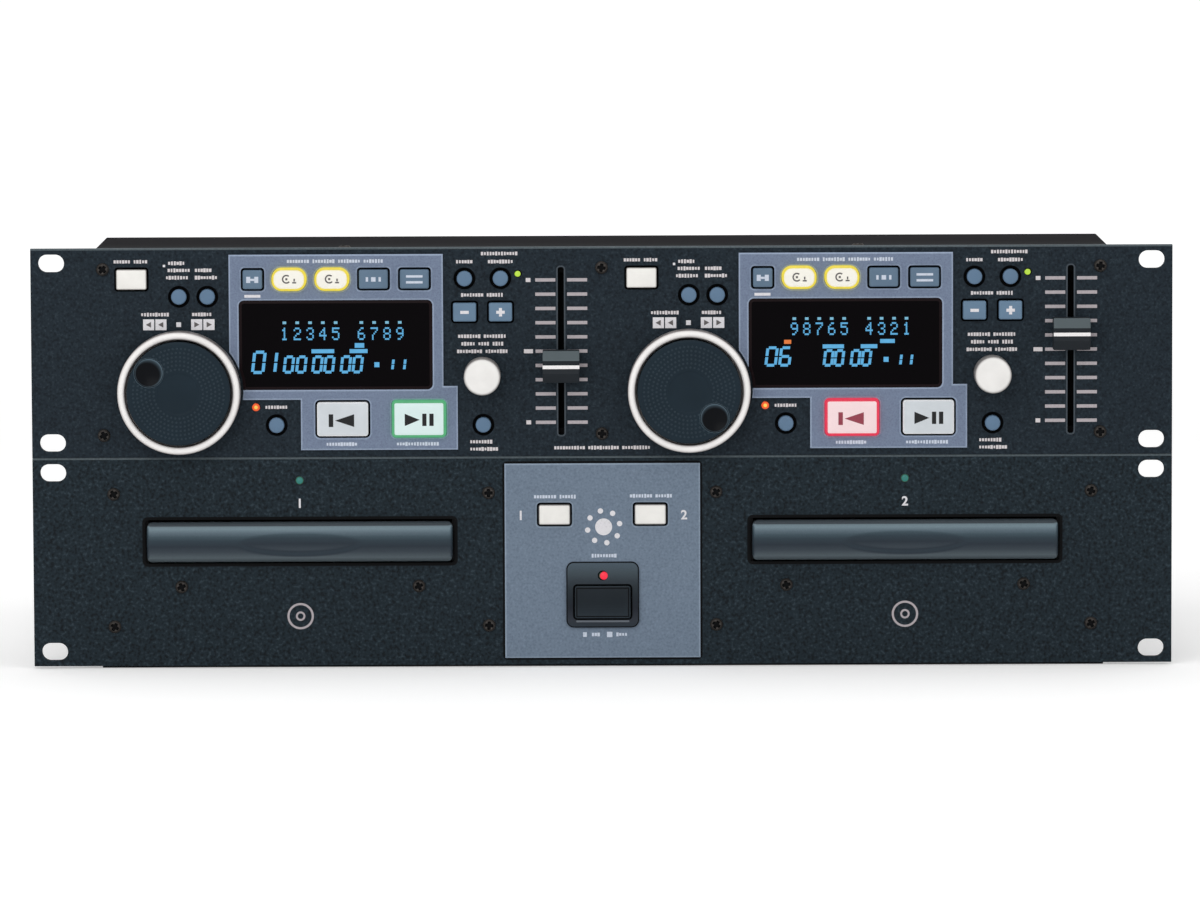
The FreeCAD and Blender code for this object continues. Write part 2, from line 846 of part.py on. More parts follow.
def tempo_slider(deck):
    """Make the slider's cap, which dips to a finger groove, and its stem."""
    body = new_body(f"tempo_slider_{deck}", f"{DECKS[deck]} + slider_x", FRONT_Y,
                    f"{CONTROL_Z} + slider_z + slider_rest_{deck}")
    front_pad(body,
              lambda sketch: rectangle(sketch, "0", "0", "slider_slot_wide - 2*slider_stem_gap",
                                       "slider_stem_high"),
              "-(board_depth - slider_stem_gap)", "slider_lift")
    sketch = new_sketch(body, "YZ_Plane", "0")
    outline(sketch, [
        ("-slider_lift", "-slider_cap_high/2"),
        ("-slider_lift", "slider_cap_high/2"),
        ("-(slider_proud - slider_dip)", "slider_cap_high/2"),
        ("-slider_proud", "slider_top_high/2"),
        ("-(slider_proud - slider_dip/2)", "0"),
        ("-slider_proud", "-slider_top_high/2"),
        ("-(slider_proud - slider_dip)", "-slider_cap_high/2"),
    ])
    cap = add_feature(body, "Pad", sketch, "slider_cap_wide")
    cap.SideType = "Symmetric"


# --- panels, plates and windows ------------------------------------------------------

def rack_slots(sketch):
    """Draw the four slots in a panel's ears."""
    for side in BOTH_SIDES:
        for row in BOTH_SIDES:
            long_slot(sketch, f"{side}rack_slot_spacing_x/2",
                      f"panel_height/2 + ({row}rack_slot_spacing_z/2)",
                      "rack_slot_length", "rack_slot_width")


def rack_panel(label, unit_z):
    """Start a rack panel with its four slots."""
    body = new_body(label, "0", FRONT_Y, unit_z)
    front_pad(body,
              lambda sketch: rectangle(sketch, "0", "panel_height/2", "panel_width", "panel_height"),
              PANEL_BACK, "0")
    front_pocket(body, rack_slots, PANEL_BACK, "0")
    return body


def control_screw_places():
    """Return X and Z of the screws of the control panel."""
    columns = ("-control_screw_x", "0", "control_screw_x")
    rows = ("control_screw_low_z", "control_screw_high_z")
    return [(x, z) for x in columns for z in rows]


def case_screw_places():
    """Return X and Z of the screws from the drive panel to the case."""
    columns = [side + name for side in BOTH_SIDES
               for name in ("drive_screw_outer_x", "drive_screw_inner_x")]
    rows = ("drive_screw_low_z", "drive_screw_high_z")
    return [(x, z) for x in columns for z in rows]


def loader_screw_places():
    """Return X and Z of the screws from the drive panel to the loaders."""
    return [(f"{tray} + ({side}loader_screw_offset)", "loader_screw_z")
            for tray in TRAYS.values() for side in BOTH_SIDES]


def screw_holes(places):
    """Return a drawing of one clearance hole at each place."""
    def draw(sketch):
        for x, z in places:
            circle(sketch, x, z, "screw_r + screw_hole_gap")
    return draw


def key_openings(body, surfaces, back, ahead):
    """Cut the key openings of the first deck in the surfaces named."""
    return [
        front_pocket(
            body,
            lambda sketch: key_outline(sketch, spec.form, f"{DECKS[1]} + {spec.x}", spec.z, "key_gap"),
            back, ahead)
        for spec in DECK_KEYS.values() if spec.surface in surfaces]


def deck_openings(sketch):
    """Draw the other openings of the first deck in the panel."""
    left = DECKS[1]
    circle(sketch, left, "wheel_z", "hub_r + hub_hole_gap")
    circle(sketch, f"{left} + select_x", "select_z",
           "select_shaft_r + select_bush_wall + select_hole_gap")
    circle(sketch, f"{left} + mode_lamp_x", "mode_lamp_z", "lamp_r + lamp_gap")
    circle(sketch, f"{left} + tempo_lamp_x", "tempo_lamp_z", "lamp_r + lamp_gap")
    rectangle(sketch, f"{left} + slider_x", "slider_z", "slider_slot_wide", "slider_slot_length")
    rectangle(sketch, f"{left} + {WINDOW_X}", WINDOW_Z, DISPLAY_WIDE, DISPLAY_HIGH)


def repeat_for_decks(body, features):
    """Repeat the features of the first deck at the second."""
    axes = {feature.Role: feature for feature in body.Origin.OriginFeatures}
    pattern = body.newObject("PartDesign::LinearPattern", f"{body.Label}_decks")
    pattern.Originals = features
    pattern.Direction = (axes["X_Axis"], [""])
    pattern.Mode = "Spacing"
    tie(pattern, "Offset", "deck_pitch")
    pattern.Occurrences = len(DECKS)
    body.Tip = pattern


def control_panel():
    """Make the front panel of the control unit, with the ears under the case top."""
    body = rack_panel("control_panel", CONTROL_Z)
    front_pocket(body, screw_holes(control_screw_places()), PANEL_BACK, "0")

    def ears(sketch):
        for side in BOTH_SIDES:
            rectangle(sketch, f"{side}top_screw_x", f"{CASE_ROOF_Z} - sheet_gap - ear_thick/2",
                      "ear_wide", "ear_thick")

    front_pad(body, ears, f"{PANEL_BACK} - ear_deep", PANEL_BACK)
    cuts = key_openings(body, ("panel", "plate"), PANEL_BACK, "0")
    cuts.append(front_pocket(body, deck_openings, PANEL_BACK, "0"))
    repeat_for_decks(body, cuts)


def plate_outline(sketch, left):
    """Draw the raised plate of a deck, cut back round the wheel."""
    arc = PLATE_ARC_R
    arc_top = f"wheel_z + sqrt(({arc})^2 - plate_left^2)"
    arc_low = f"{left} + sqrt(({arc})^2 - (wheel_z - plate_notch_z)^2)"
    outline(sketch, [
        (f"{left} + plate_left", arc_top),
        (f"{left} + plate_left", "plate_top_z"),
        (f"{left} + plate_top_right", "plate_top_z"),
        (f"{left} + plate_top_right", "plate_step_z"),
        (f"{left} + plate_low_right", "plate_step_z"),
        (f"{left} + plate_low_right", "plate_low_z"),
        (f"{left} + plate_low_left", "plate_low_z"),
        (f"{left} + plate_low_left", "plate_notch_z"),
        (arc_low, "plate_notch_z", left, "wheel_z", arc),
    ])


def window_outline(sketch, left, grow):
    """Draw the display window, cut back round the wheel and grown on every side."""
    arc = f"({PLATE_ARC_R} + window_gap - {grow})"
    low, top = f"window_low_z - {grow}", f"window_top_z + {grow}"
    near, far = f"window_left - {grow}", f"window_right + {grow}"
    radius = f"(window_corner_r + {grow})"
    outline(sketch, [
        (f"{left} + sqrt({arc}^2 - (({low}) - wheel_z)^2)", low),
        (f"{left} + {far} - {radius}", low,
         f"{left} + {far} - {radius}", f"{low} + {radius}", radius),
        (f"{left} + {far}", f"{low} + {radius}"),
        (f"{left} + {far}", f"{top} - {radius}",
         f"{left} + {far} - {radius}", f"{top} - {radius}", radius),
        (f"{left} + {far} - {radius}", top),
        (f"{left} + {near} + {radius}", top,
         f"{left} + {near} + {radius}", f"{top} - {radius}", radius),
        (f"{left} + {near}", f"{top} - {radius}"),
        (f"{left} + {near}", f"wheel_z + sqrt({arc}^2 - ({near})^2)", left, "wheel_z", arc),
    ])


def control_plates():
    """Make the raised plate of each deck."""
    body = new_body("control_plates", "0", FRONT_Y, CONTROL_Z)

    def plates(sketch):
        for left in DECKS.values():
            plate_outline(sketch, left)

    front_pad(body, plates, "0", "plate_proud")
    cuts = key_openings(body, ("plate",), "0", "plate_proud")
    cuts.append(front_pocket(body, lambda sketch: window_outline(sketch, DECKS[1], "window_gap"),
                             "0", "plate_proud"))
    repeat_for_decks(body, cuts)


def display_windows():
    """Make the clear window of each deck's display."""
    body = new_body("display_windows", "0", FRONT_Y, CONTROL_Z)

    def windows(sketch):
        for left in DECKS.values():
            window_outline(sketch, left, "0")

    front_pad(body, windows, "0", "plate_proud")


def drive_panel():
    """Make the front panel of the drive unit."""
    body = rack_panel("drive_panel", DRIVE_Z)
    front_pocket(body, screw_holes(case_screw_places() + loader_screw_places()), PANEL_BACK, "0")

    def openings(sketch):
        for tray in TRAYS.values():
            rectangle(sketch, tray, "tray_z", "tray_front_wide + 2*tray_opening_gap",
                      "tray_front_high + 2*tray_opening_gap")
            circle(sketch, tray, "tray_lamp_z", "tray_lamp_r + lamp_gap")
        centre_openings(sketch)

    front_pocket(body, openings, PANEL_BACK, "0")


def centre_openings(sketch):
    """Draw the openings that the centre plate and the panel behind it share."""
    for side in BOTH_SIDES:
        key_outline(sketch, "tray", f"{side}tray_key_x", "tray_key_z", "key_gap")
    rectangle(sketch, "0", "power_z", "power_wide + 2*(power_gap + bezel_sleeve + lamp_gap)",
              "power_high + 2*(power_gap + bezel_sleeve + lamp_gap)")
    circle(sketch, "0", "power_lamp_z", "lamp_r + lamp_gap")


def drive_plate():
    """Make the raised plate in the middle of the drive unit."""
    body = new_body("drive_plate", "0", FRONT_Y, DRIVE_Z)
    front_pad(body,
              lambda sketch: rectangle(sketch, "0", "centre_plate_z", "centre_plate_side",
                                       "centre_plate_side"),
              "0", "centre_plate_proud")
    front_pocket(body, centre_openings, "0", "centre_plate_proud")


def switch_bezel():
    """Make the bezel of the power button: a flange and a sleeve through the panel."""
    body = new_body("switch_bezel", "0", FRONT_Y, DRIVE_Z)
    sleeve = "2*(power_gap + bezel_sleeve)"
    front = "centre_plate_proud + bezel_proud"
    front_pad(body,
              lambda sketch: rectangle(sketch, "0", "power_z", f"power_wide + {sleeve}",
                                       f"power_high + {sleeve}"),
              "-bezel_back", "centre_plate_proud")
    front_pad(body,
              lambda sketch: rounded_rectangle(sketch, "0", "bezel_z", "bezel_wide", "bezel_high",
                                               "bezel_corner_r"),
              "centre_plate_proud", front)
    front_pocket(body,
                 lambda sketch: rounded_rectangle(sketch, "0", "power_z", "power_wide + 2*power_gap",
                                                  "power_high + 2*power_gap",
                                                  "power_corner_r + power_gap"),
                 "-bezel_back", front)
    front_pocket(body, lambda sketch: circle(sketch, "0", "power_lamp_z", "lamp_r + lamp_gap"),
                 "centre_plate_proud", front)


# --- trays and their drive -----------------------------------------------------------

def disc_tray(tray):
    """Make a tray: its front, the moulding that holds the disc, and its rack."""
    body = new_body(f"disc_tray_{tray}", TRAYS[tray], FRONT_Y, DRIVE_Z)
    front = front_pad(
        body,
        lambda sketch: rounded_rectangle(sketch, "0", "tray_z", "tray_front_wide",
                                         "tray_front_high", "tray_front_corner_r"),
        "-tray_front_back", "tray_front_proud")
    bevel_front(body, front, "tray_front_edge")
    front_pocket(body,
                 lambda sketch: lens(sketch, "tray_z - tray_lens_drop", "tray_lens_wide", "tray_lens_high"),
                 "tray_front_proud - tray_lens_deep", "tray_front_proud")
    middle_y = "tray_front_back + tray_long/2"
    slot_middle = "disc_centre_y + (tray_slot_behind - tray_slot_ahead)/2"
    level_pad(body, lambda sketch: rectangle(sketch, "0", middle_y, "tray_wide", "tray_long"),
              "tray_low_z", TRAY_TOP_Z)
    level_pocket(body, lambda sketch: circle(sketch, "0", "disc_centre_y", "disc_recess_r"),
                 f"{TRAY_TOP_Z} - disc_recess_deep", TRAY_TOP_Z)
    level_pocket(body, lambda sketch: circle(sketch, "0", "disc_centre_y", "small_recess_r"),
                 f"{TRAY_TOP_Z} - disc_recess_deep - small_recess_deep",
                 f"{TRAY_TOP_Z} - disc_recess_deep")
    level_pocket(body,
                 lambda sketch: rounded_rectangle(sketch, "0", slot_middle, "tray_slot_wide",
                                                  "tray_slot_behind + tray_slot_ahead",
                                                  "tray_slot_wide/2 - key_gap"),
                 "tray_low_z", TRAY_TOP_Z)
    tray_rack(body)


def tray_rack(body):
    """Add the rack under a tray: a rib, then tooth gaps that step along it.

    The rack's teeth face the gear, and a tooth, not a gap, stands in line with the
    gear's axis.  Flanks lean by the pressure angle, as an involute gear needs.
    """
    root_x = "rack_line_x - gear_module - rack_root_gap"
    tip_x = "rack_line_x + gear_module"
    gap_count = f"(round(tray_travel/{TOOTH_PITCH}) + 4)"
    first_gap_y = f"gear_y - 2.5*{TOOTH_PITCH}"
    front = f"{first_gap_y} - {TOOTH_PITCH}/2"
    back = f"{front} + {gap_count}*{TOOTH_PITCH}"
    level_pad(body,
              lambda sketch: outline(sketch, [(f"{root_x} - rack_back_wide", front), (tip_x, front),
                                              (tip_x, back), (f"{root_x} - rack_back_wide", back)]),
              GEAR_LOW_Z, "tray_low_z")
    half_gap = f"{TOOTH_PITCH}/4 + gear_backlash/2"
    half_mouth = f"({half_gap} + gear_module*tan(pressure_angle * 1deg))"
    half_root = f"({half_gap} - (gear_module + rack_root_gap)*tan(pressure_angle * 1deg))"
    gap = level_pocket(
        body,
        lambda sketch: outline(sketch, [(root_x, f"{first_gap_y} - {half_root}"),
                                        (tip_x, f"{first_gap_y} - {half_mouth}"),
                                        (tip_x, f"{first_gap_y} + {half_mouth}"),
                                        (root_x, f"{first_gap_y} + {half_root}")]),
        GEAR_LOW_Z, "tray_low_z")
    axes = {feature.Role: feature for feature in body.Origin.OriginFeatures}
    teeth = body.newObject("PartDesign::LinearPattern", f"{body.Label}_teeth")
    teeth.Originals = [gap]
    teeth.Direction = (axes["Y_Axis"], [""])
    teeth.Mode = "Spacing"
    tie(teeth, "Offset", TOOTH_PITCH)
    tie(teeth, "Occurrences", gap_count)
    body.Tip = teeth


def involute_point(base_r, radius, turn, side):
    """Return the point of a tooth's flank at a radius; side is 1 or -1."""
    roll = math.acos(base_r / radius)
    angle = turn + side * (math.tan(roll) - roll)
    return Vector(radius * math.cos(angle), radius * math.sin(angle), 0)


def turned_point(radius, angle):
    """Return the point at a radius and an angle about the gear's axis."""
    return Vector(radius * math.cos(angle), radius * math.sin(angle), 0)


def gear_shape():
    """Return a spur gear with involute flanks, whose first gap faces the rack."""
    module, teeth = number("gear_module"), int(number("gear_teeth"))
    pitch_r = number(PITCH_R)
    pressure = math.radians(number("pressure_angle"))
    base_r = pitch_r * math.cos(pressure)
    tip_r = pitch_r + module
    root_r = pitch_r - module - number("rack_root_gap")
    start_r = max(base_r, root_r)
    half_tooth = math.pi / (2 * teeth) - number("gear_backlash") / (2 * pitch_r)
    half_base = half_tooth + math.tan(pressure) - pressure
    radii = [start_r + (tip_r - start_r) * step / FLANK_STEPS for step in range(FLANK_STEPS + 1)]
    tooth_angle = 2 * math.pi / teeth
    edges = []
    for tooth in range(teeth):
        middle = math.pi + tooth_angle * (tooth + 0.5)
        rising = [involute_point(base_r, radius, middle - half_base, 1) for radius in radii]
        falling = [involute_point(base_r, radius, middle + half_base, -1) for radius in reversed(radii)]
        root_low = turned_point(root_r, middle - half_base)
        root_high = turned_point(root_r, middle + half_base)
        gap_floor = turned_point(root_r, middle + tooth_angle / 2)
        next_root = turned_point(root_r, middle + tooth_angle - half_base)
        edges.append(Part.LineSegment(root_low, rising[0]).toShape())
        edges.append(flank(rising))
        edges.append(Part.Arc(rising[-1], turned_point(tip_r, middle), falling[0]).toShape())
        edges.append(flank(falling))
        edges.append(Part.LineSegment(falling[-1], root_high).toShape())
        edges.append(Part.Arc(root_high, gap_floor, next_root).toShape())
    thick = number("gear_thick")
    blank = Part.Face(Part.Wire(edges)).extrude(Vector(0, 0, thick))
    bore = Part.makeCylinder(number("gear_post_r + bearing_gap"), thick)
    return blank.cut(bore)


def flank(points):
    """Return the smooth edge through a flank's points."""
    curve = Part.BSplineCurve()
    curve.interpolate(points)
    return curve.toShape()


def loading_gear(tray):
    """Make the gear that drives a tray's rack."""
    gear = doc.addObject("Part::Feature", f"loading_gear_{tray}")
    gear.Label = f"loading_gear_{tray}"
    gear.Shape = gear_shape()
    place(gear, f"{TRAYS[tray]} + {GEAR_X}", f"{FRONT_Y} + gear_y", f"{DRIVE_Z} + {GEAR_LOW_Z}")
    sub_parts.append(gear)


def loader_frame(tray_x):
    """Return the pieces of one loader: its channel for the tray and its mechanism."""
    half = f"{LOADER_WIDE}/2"
    long = ("panel_thick", "loader_long")
    pieces = [
        block(about(tray_x, LOADER_WIDE), long, ("loader_floor_z", LOADER_FLOOR_TOP_Z)),
        block(about(tray_x, LOADER_WIDE), ("panel_thick", "panel_thick + loader_wall"),
              ("loader_floor_z", "loader_apron_z")),
        block(about(tray_x, LOADER_WIDE), about("disc_centre_y", "bridge_wide"),
              ("loader_top_z - bridge_thick", "loader_top_z")),
    ]
    for side in (-1, 1):
        outer = f"{tray_x} + {side}*{half}"
        inner = f"{tray_x} + {side}*({half} - loader_wall)"
        rail = f"{tray_x} + {side}*({half} - loader_wall - rail_wide)"
        low_rail = ("tray_low_z - rail_gap - rail_thick", "tray_low_z - rail_gap")
        high_rail = (f"{TRAY_TOP_Z} + rail_gap", f"{TRAY_TOP_Z} + rail_gap + rail_thick")
        wall_x = (outer, inner) if side < 0 else (inner, outer)
        rail_x = (inner, rail) if side < 0 else (rail, inner)
        pieces.append(block(wall_x, long, ("loader_floor_z", "loader_top_z")))
        pieces.append(block(rail_x, long, low_rail))
        pieces.append(block(rail_x, long, high_rail))
        for y in ("panel_thick + foot_post_inset", "loader_long - foot_post_inset"):
            pieces.append(upright(f"{tray_x} + {side}*({half} - foot_post_inset)", y,
                                  (FLOOR_Z, "loader_floor_z"), "foot_post_r"))
        guide_y = ("disc_centre_y + turntable_r + disc_lift",
                   "disc_centre_y + turntable_r + disc_lift + guide_long")
        pieces.append(level_rod(f"{tray_x} + {side}*guide_spread/2", guide_y,
                                f"{PARKED_Z} - pickup_high/2", "guide_r"))
    for y in guide_y:
        pieces.append(block(about(tray_x, "cradle_wide"), about(y, "cradle_thick"),
                            (LOADER_FLOOR_TOP_Z, f"{PARKED_Z} - pickup_high/2 + guide_r")))
    pickup_front = "disc_centre_y + pickup_ahead"
    pieces += [
        upright(tray_x, "disc_centre_y", (f"{TRAY_TOP_Z} + clamp_gap", "loader_top_z - bridge_thick"),
                "clamp_r"),
        upright(tray_x, "disc_centre_y", (LOADER_FLOOR_TOP_Z, f"{PARKED_Z} - turntable_thick"),
                "motor_r"),
        upright(tray_x, "disc_centre_y", (f"{PARKED_Z} - turntable_thick", PARKED_Z), "turntable_r"),
        block(about(tray_x, "pickup_wide"), (pickup_front, f"{pickup_front} + pickup_long"),
              (f"{PARKED_Z} - pickup_high", PARKED_Z)),
        upright(f"{tray_x} + {GEAR_X}", "gear_y", (LOADER_FLOOR_TOP_Z, f"{GEAR_LOW_Z} - gear_seat_gap"),
                "gear_seat_r"),
        upright(f"{tray_x} + {GEAR_X}", "gear_y", (LOADER_FLOOR_TOP_Z, f"{GEAR_LOW_Z} + gear_thick"),
                "gear_post_r"),
        upright(f"{tray_x} + loading_motor_x", "loading_motor_y",
                (LOADER_FLOOR_TOP_Z, "loading_motor_top_z"), "loading_motor_r"),
    ]
    return pieces


def loader_frames():
    """Make the two loader frames."""
    pieces = [piece for tray_x in TRAYS.values() for piece in loader_frame(tray_x)]
    holes = [screw_hole(x, z) for x, z in loader_screw_places()]
    finish(without(joined(pieces), holes), "loader_frames", DRIVE_Z)


# --- casings -------------------------------------------------------------------------

def screw_hole(x, z):
    """Return a clearance hole from front to back for a panel screw."""
    return level_rod(x, ("0", "screw_length + sheet_thick"), z, "screw_r + screw_hole_gap")


def lug(x, z):
    """Return a lug behind the panel for one of its screws."""
    return block(x, ("panel_thick", "panel_thick + sheet_thick"), z)


def socket(x, y, z):
    """Return a round connector on a rear wall, and the groove round its core."""
    shell = level_rod(x, (f"{y} - socket_deep", f"{y} + socket_reach"), z, "socket_r")
    outer = level_rod(x, (f"{y} + socket_reach - socket_deep", f"{y} + 2*socket_reach"), z,
                      "socket_core_r + socket_groove")
    core = level_rod(x, (f"{y} + socket_reach - 2*socket_deep", f"{y} + 3*socket_reach"), z,
                     "socket_core_r")
    return shell, without(outer, [core])


def control_case():
    """Make the casing of the control unit: a box, open at the front, with lugs."""
    wall = "2*sheet_thick"
    outer = block(about("0", "control_case_width"), ("panel_thick", "control_depth"),
                  ("-stack_gap", CASE_TOP_Z))
    room = block(about("0", f"control_case_width - {wall}"), ("0", "control_depth - sheet_thick"),
                 ("sheet_thick - stack_gap", CASE_ROOF_Z))
    pieces = [without(outer, [room])]
    half = "control_case_width/2"
    inner = "(control_screw_x - lug_margin)"
    for x in ((f"-{half}", f"-{inner}"), about("0", "lug_width"), (inner, half)):
        pieces.append(lug(x, ("-stack_gap", "control_screw_low_z + lug_height/2")))
        pieces.append(lug(x, ("control_screw_high_z - lug_height/2", CASE_TOP_Z)))
    grooves = []
    for side in BOTH_SIDES:
        shell, groove = socket(f"{side}socket_pitch/2", "control_depth", "socket_z")
        pieces.append(shell)
        grooves.append(groove)
    holes = [screw_hole(x, z) for x, z in control_screw_places()]
    holes += [upright(f"{side}top_screw_x", "top_screw_y", (f"{CASE_ROOF_Z} - sheet_thick", "panel_height"),
                      "screw_r + screw_hole_gap") for side in BOTH_SIDES]
    finish(without(joined(pieces), holes + grooves), "control_case", CONTROL_Z)


def inlet_room(grow, y):
    """Return the box of the mains inlet's body, grown on every side."""
    wide = f"inlet_wide - 2*inlet_flange + 2*({grow})"
    high = f"inlet_high - 2*inlet_flange + 2*({grow})"
    return block(about("inlet_x", wide), y, about("inlet_z", high))


def jack_places():
    """Return X and Z of the phono jacks on the rear of the drive unit."""
    return [(f"({group}jack_x) + ({side}jack_spread/2)", z)
            for group in BOTH_SIDES for side in BOTH_SIDES
            for z in ("jack_low_z", "jack_low_z + jack_spread")]


def drive_case():
    """Make the lower casing of the drive unit: floor, sides, rear and front lugs."""
    outer = block(about("0", "drive_case_width"), ("panel_thick", "drive_depth"),
                  ("-drive_case_drop", COVER_Z))
    room = block(about("0", "drive_case_width - 2*sheet_thick"), ("0", REAR_WALL_Y),
                 (FLOOR_Z, "panel_height"))
    pieces = [without(outer, [room])]
    half = "drive_case_width/2"
    for x in ((f"-{half}", f"lug_width - {half}"), (f"{half} - lug_width", half)):
        for z in ("drive_screw_low_z", "drive_screw_high_z"):
            pieces.append(lug(x, about(z, "lug_height")))
    for side in BOTH_SIDES:
        pieces.append(lug(about(f"{side}drive_screw_inner_x", "lug_width"),
                          ("-drive_case_drop", "drive_screw_high_z + lug_height/2")))
    grooves = []
    for side in BOTH_SIDES:
        shell, groove = socket(f"{side}socket_pitch/2", "drive_depth", "socket_z")
        pieces.append(shell)
        grooves.append(groove)
    holes = [screw_hole(x, z) for x, z in case_screw_places()]
    holes += [level_rod(x, ("drive_depth - 2*sheet_thick", "drive_depth + sheet_thick"), z,
                        "jack_r + lamp_gap") for x, z in jack_places()]
    holes.append(inlet_room("lamp_gap", ("drive_depth - 2*sheet_thick", "drive_depth + sheet_thick")))
    finish(without(joined(pieces), holes + grooves), "drive_case", DRIVE_Z)


def drive_cover():
    """Make the cover of the drive unit, with flanges inside the side walls."""
    pieces = [block(about("0", "drive_case_width"), ("panel_thick", "drive_depth"),
                    (COVER_Z, f"{COVER_Z} + sheet_thick"))]
    outer = "(drive_case_width/2 - sheet_thick - sheet_gap)"
    for side in (-1, 1):
        limits = (f"{side}*{outer}", f"{side}*({outer} - sheet_thick)")
        pieces.append(block(limits if side < 0 else limits[::-1],
                            ("panel_thick + sheet_thick + sheet_gap", f"{REAR_WALL_Y} - sheet_gap"),
                            (f"{COVER_Z} - cover_flange", COVER_Z)))
    finish(joined(pieces), "drive_cover", DRIVE_Z)


# --- boards --------------------------------------------------------------------------

def switch(x, z, travel):
    """Return the switch on the board behind a key."""
    return block(about(x, "switch_side"), (f"stem_depth + {travel} + switch_gap", "board_depth"),
                 about(z, "switch_side"))


def deck_board(left):
    """Return what the control board carries for a deck, and the cuts in it."""
    slider_x = f"{left} + slider_x"
    select_x = f"{left} + select_x"
    pieces = [switch(f"{left} + {spec.x}", spec.z, spec.travel) for spec in DECK_KEYS.values()]
    for x, z in (("post_left_x", "post_low_z"), ("post_left_x", "post_high_z"),
                 ("post_middle_x", "post_low_z"),
                 ("post_right_x", "post_low_z"), ("post_right_x", "post_high_z")):
        pieces.append(level_rod(f"{left} + {x}", ("panel_thick", "board_depth"), z, "post_r"))
    pieces += [
        block(about(f"{left} + {WINDOW_X}", f"{DISPLAY_WIDE} - 2*display_side_gap"),
              ("display_gap", "board_depth"), about(WINDOW_Z, f"{DISPLAY_HIGH} - 2*display_side_gap")),
        level_rod(left, (f"-({RING_WEB_AHEAD} + hub_end_gap)", "board_depth"), "wheel_z", "hub_r"),
        level_rod(left, ("spindle_short - disc_proud", "board_depth"), "wheel_z", "spindle_r"),
        level_rod(select_x, ("0", "board_depth"), "select_z", "select_shaft_r + select_bush_wall"),
        block(about(select_x, "encoder_side"), ("board_depth - encoder_depth", "board_depth"),
              about("select_z", "encoder_side")),
        block(about(slider_x, "slider_track_wide"), ("slider_track_front", "board_depth"),
              about("slider_z", "slider_slot_length")),
        level_rod(f"{left} + mode_lamp_x", ("0", "board_depth"), "mode_lamp_z", "lamp_r"),
        level_rod(f"{left} + tempo_lamp_x", ("0", "board_depth"), "tempo_lamp_z", "lamp_r"),
    ]
    cuts = [
        level_rod(select_x, ("-select_lift", "select_shaft_back + spindle_end_gap"), "select_z",
                  "select_shaft_r + bearing_gap"),
        block(about(slider_x, "slider_slot_wide"), ("0", "board_depth"),
              about("slider_z", "slider_travel + slider_stem_high + 2*slider_stem_gap")),
    ]
    return pieces, cuts


def control_board():
    """Make the control unit's board with everything soldered to it."""
    pieces = [block(about("0", "board_width"), ("board_depth", "board_depth + board_thick"),
                    ("board_low_z", "board_top_z"))]
    cuts = []
    for left in DECKS.values():
        deck_pieces, deck_cuts = deck_board(left)
        pieces += deck_pieces
        cuts += deck_cuts
    finish(without(joined(pieces), cuts), "control_board", CONTROL_Z)


def mains_inlet():
    """Return the mains inlet: a flanged cup with three blades in it."""
    flange = block(about("inlet_x", "inlet_wide"), ("drive_depth", "drive_depth + inlet_flange_thick"),
                   about("inlet_z", "inlet_high"))
    cup = inlet_room("0", ("drive_depth - inlet_deep", "drive_depth"))
    hollow = inlet_room("-inlet_wall", ("drive_depth - inlet_deep + inlet_wall",
                                        "drive_depth + 2*inlet_flange_thick"))
    blades = [
        block(about(f"inlet_x + {step}*inlet_pin_pitch", "inlet_pin_wide"),
              ("drive_depth - inlet_deep", "drive_depth + inlet_flange_thick - inlet_pin_short"),
              about(f"inlet_z + {rise}*inlet_pin_rise/2", "inlet_pin_high"))
        for step, rise in ((-1, -1), (0, 1), (1, -1))]
    return joined([without(joined([flange, cup]), [hollow])] + blades)


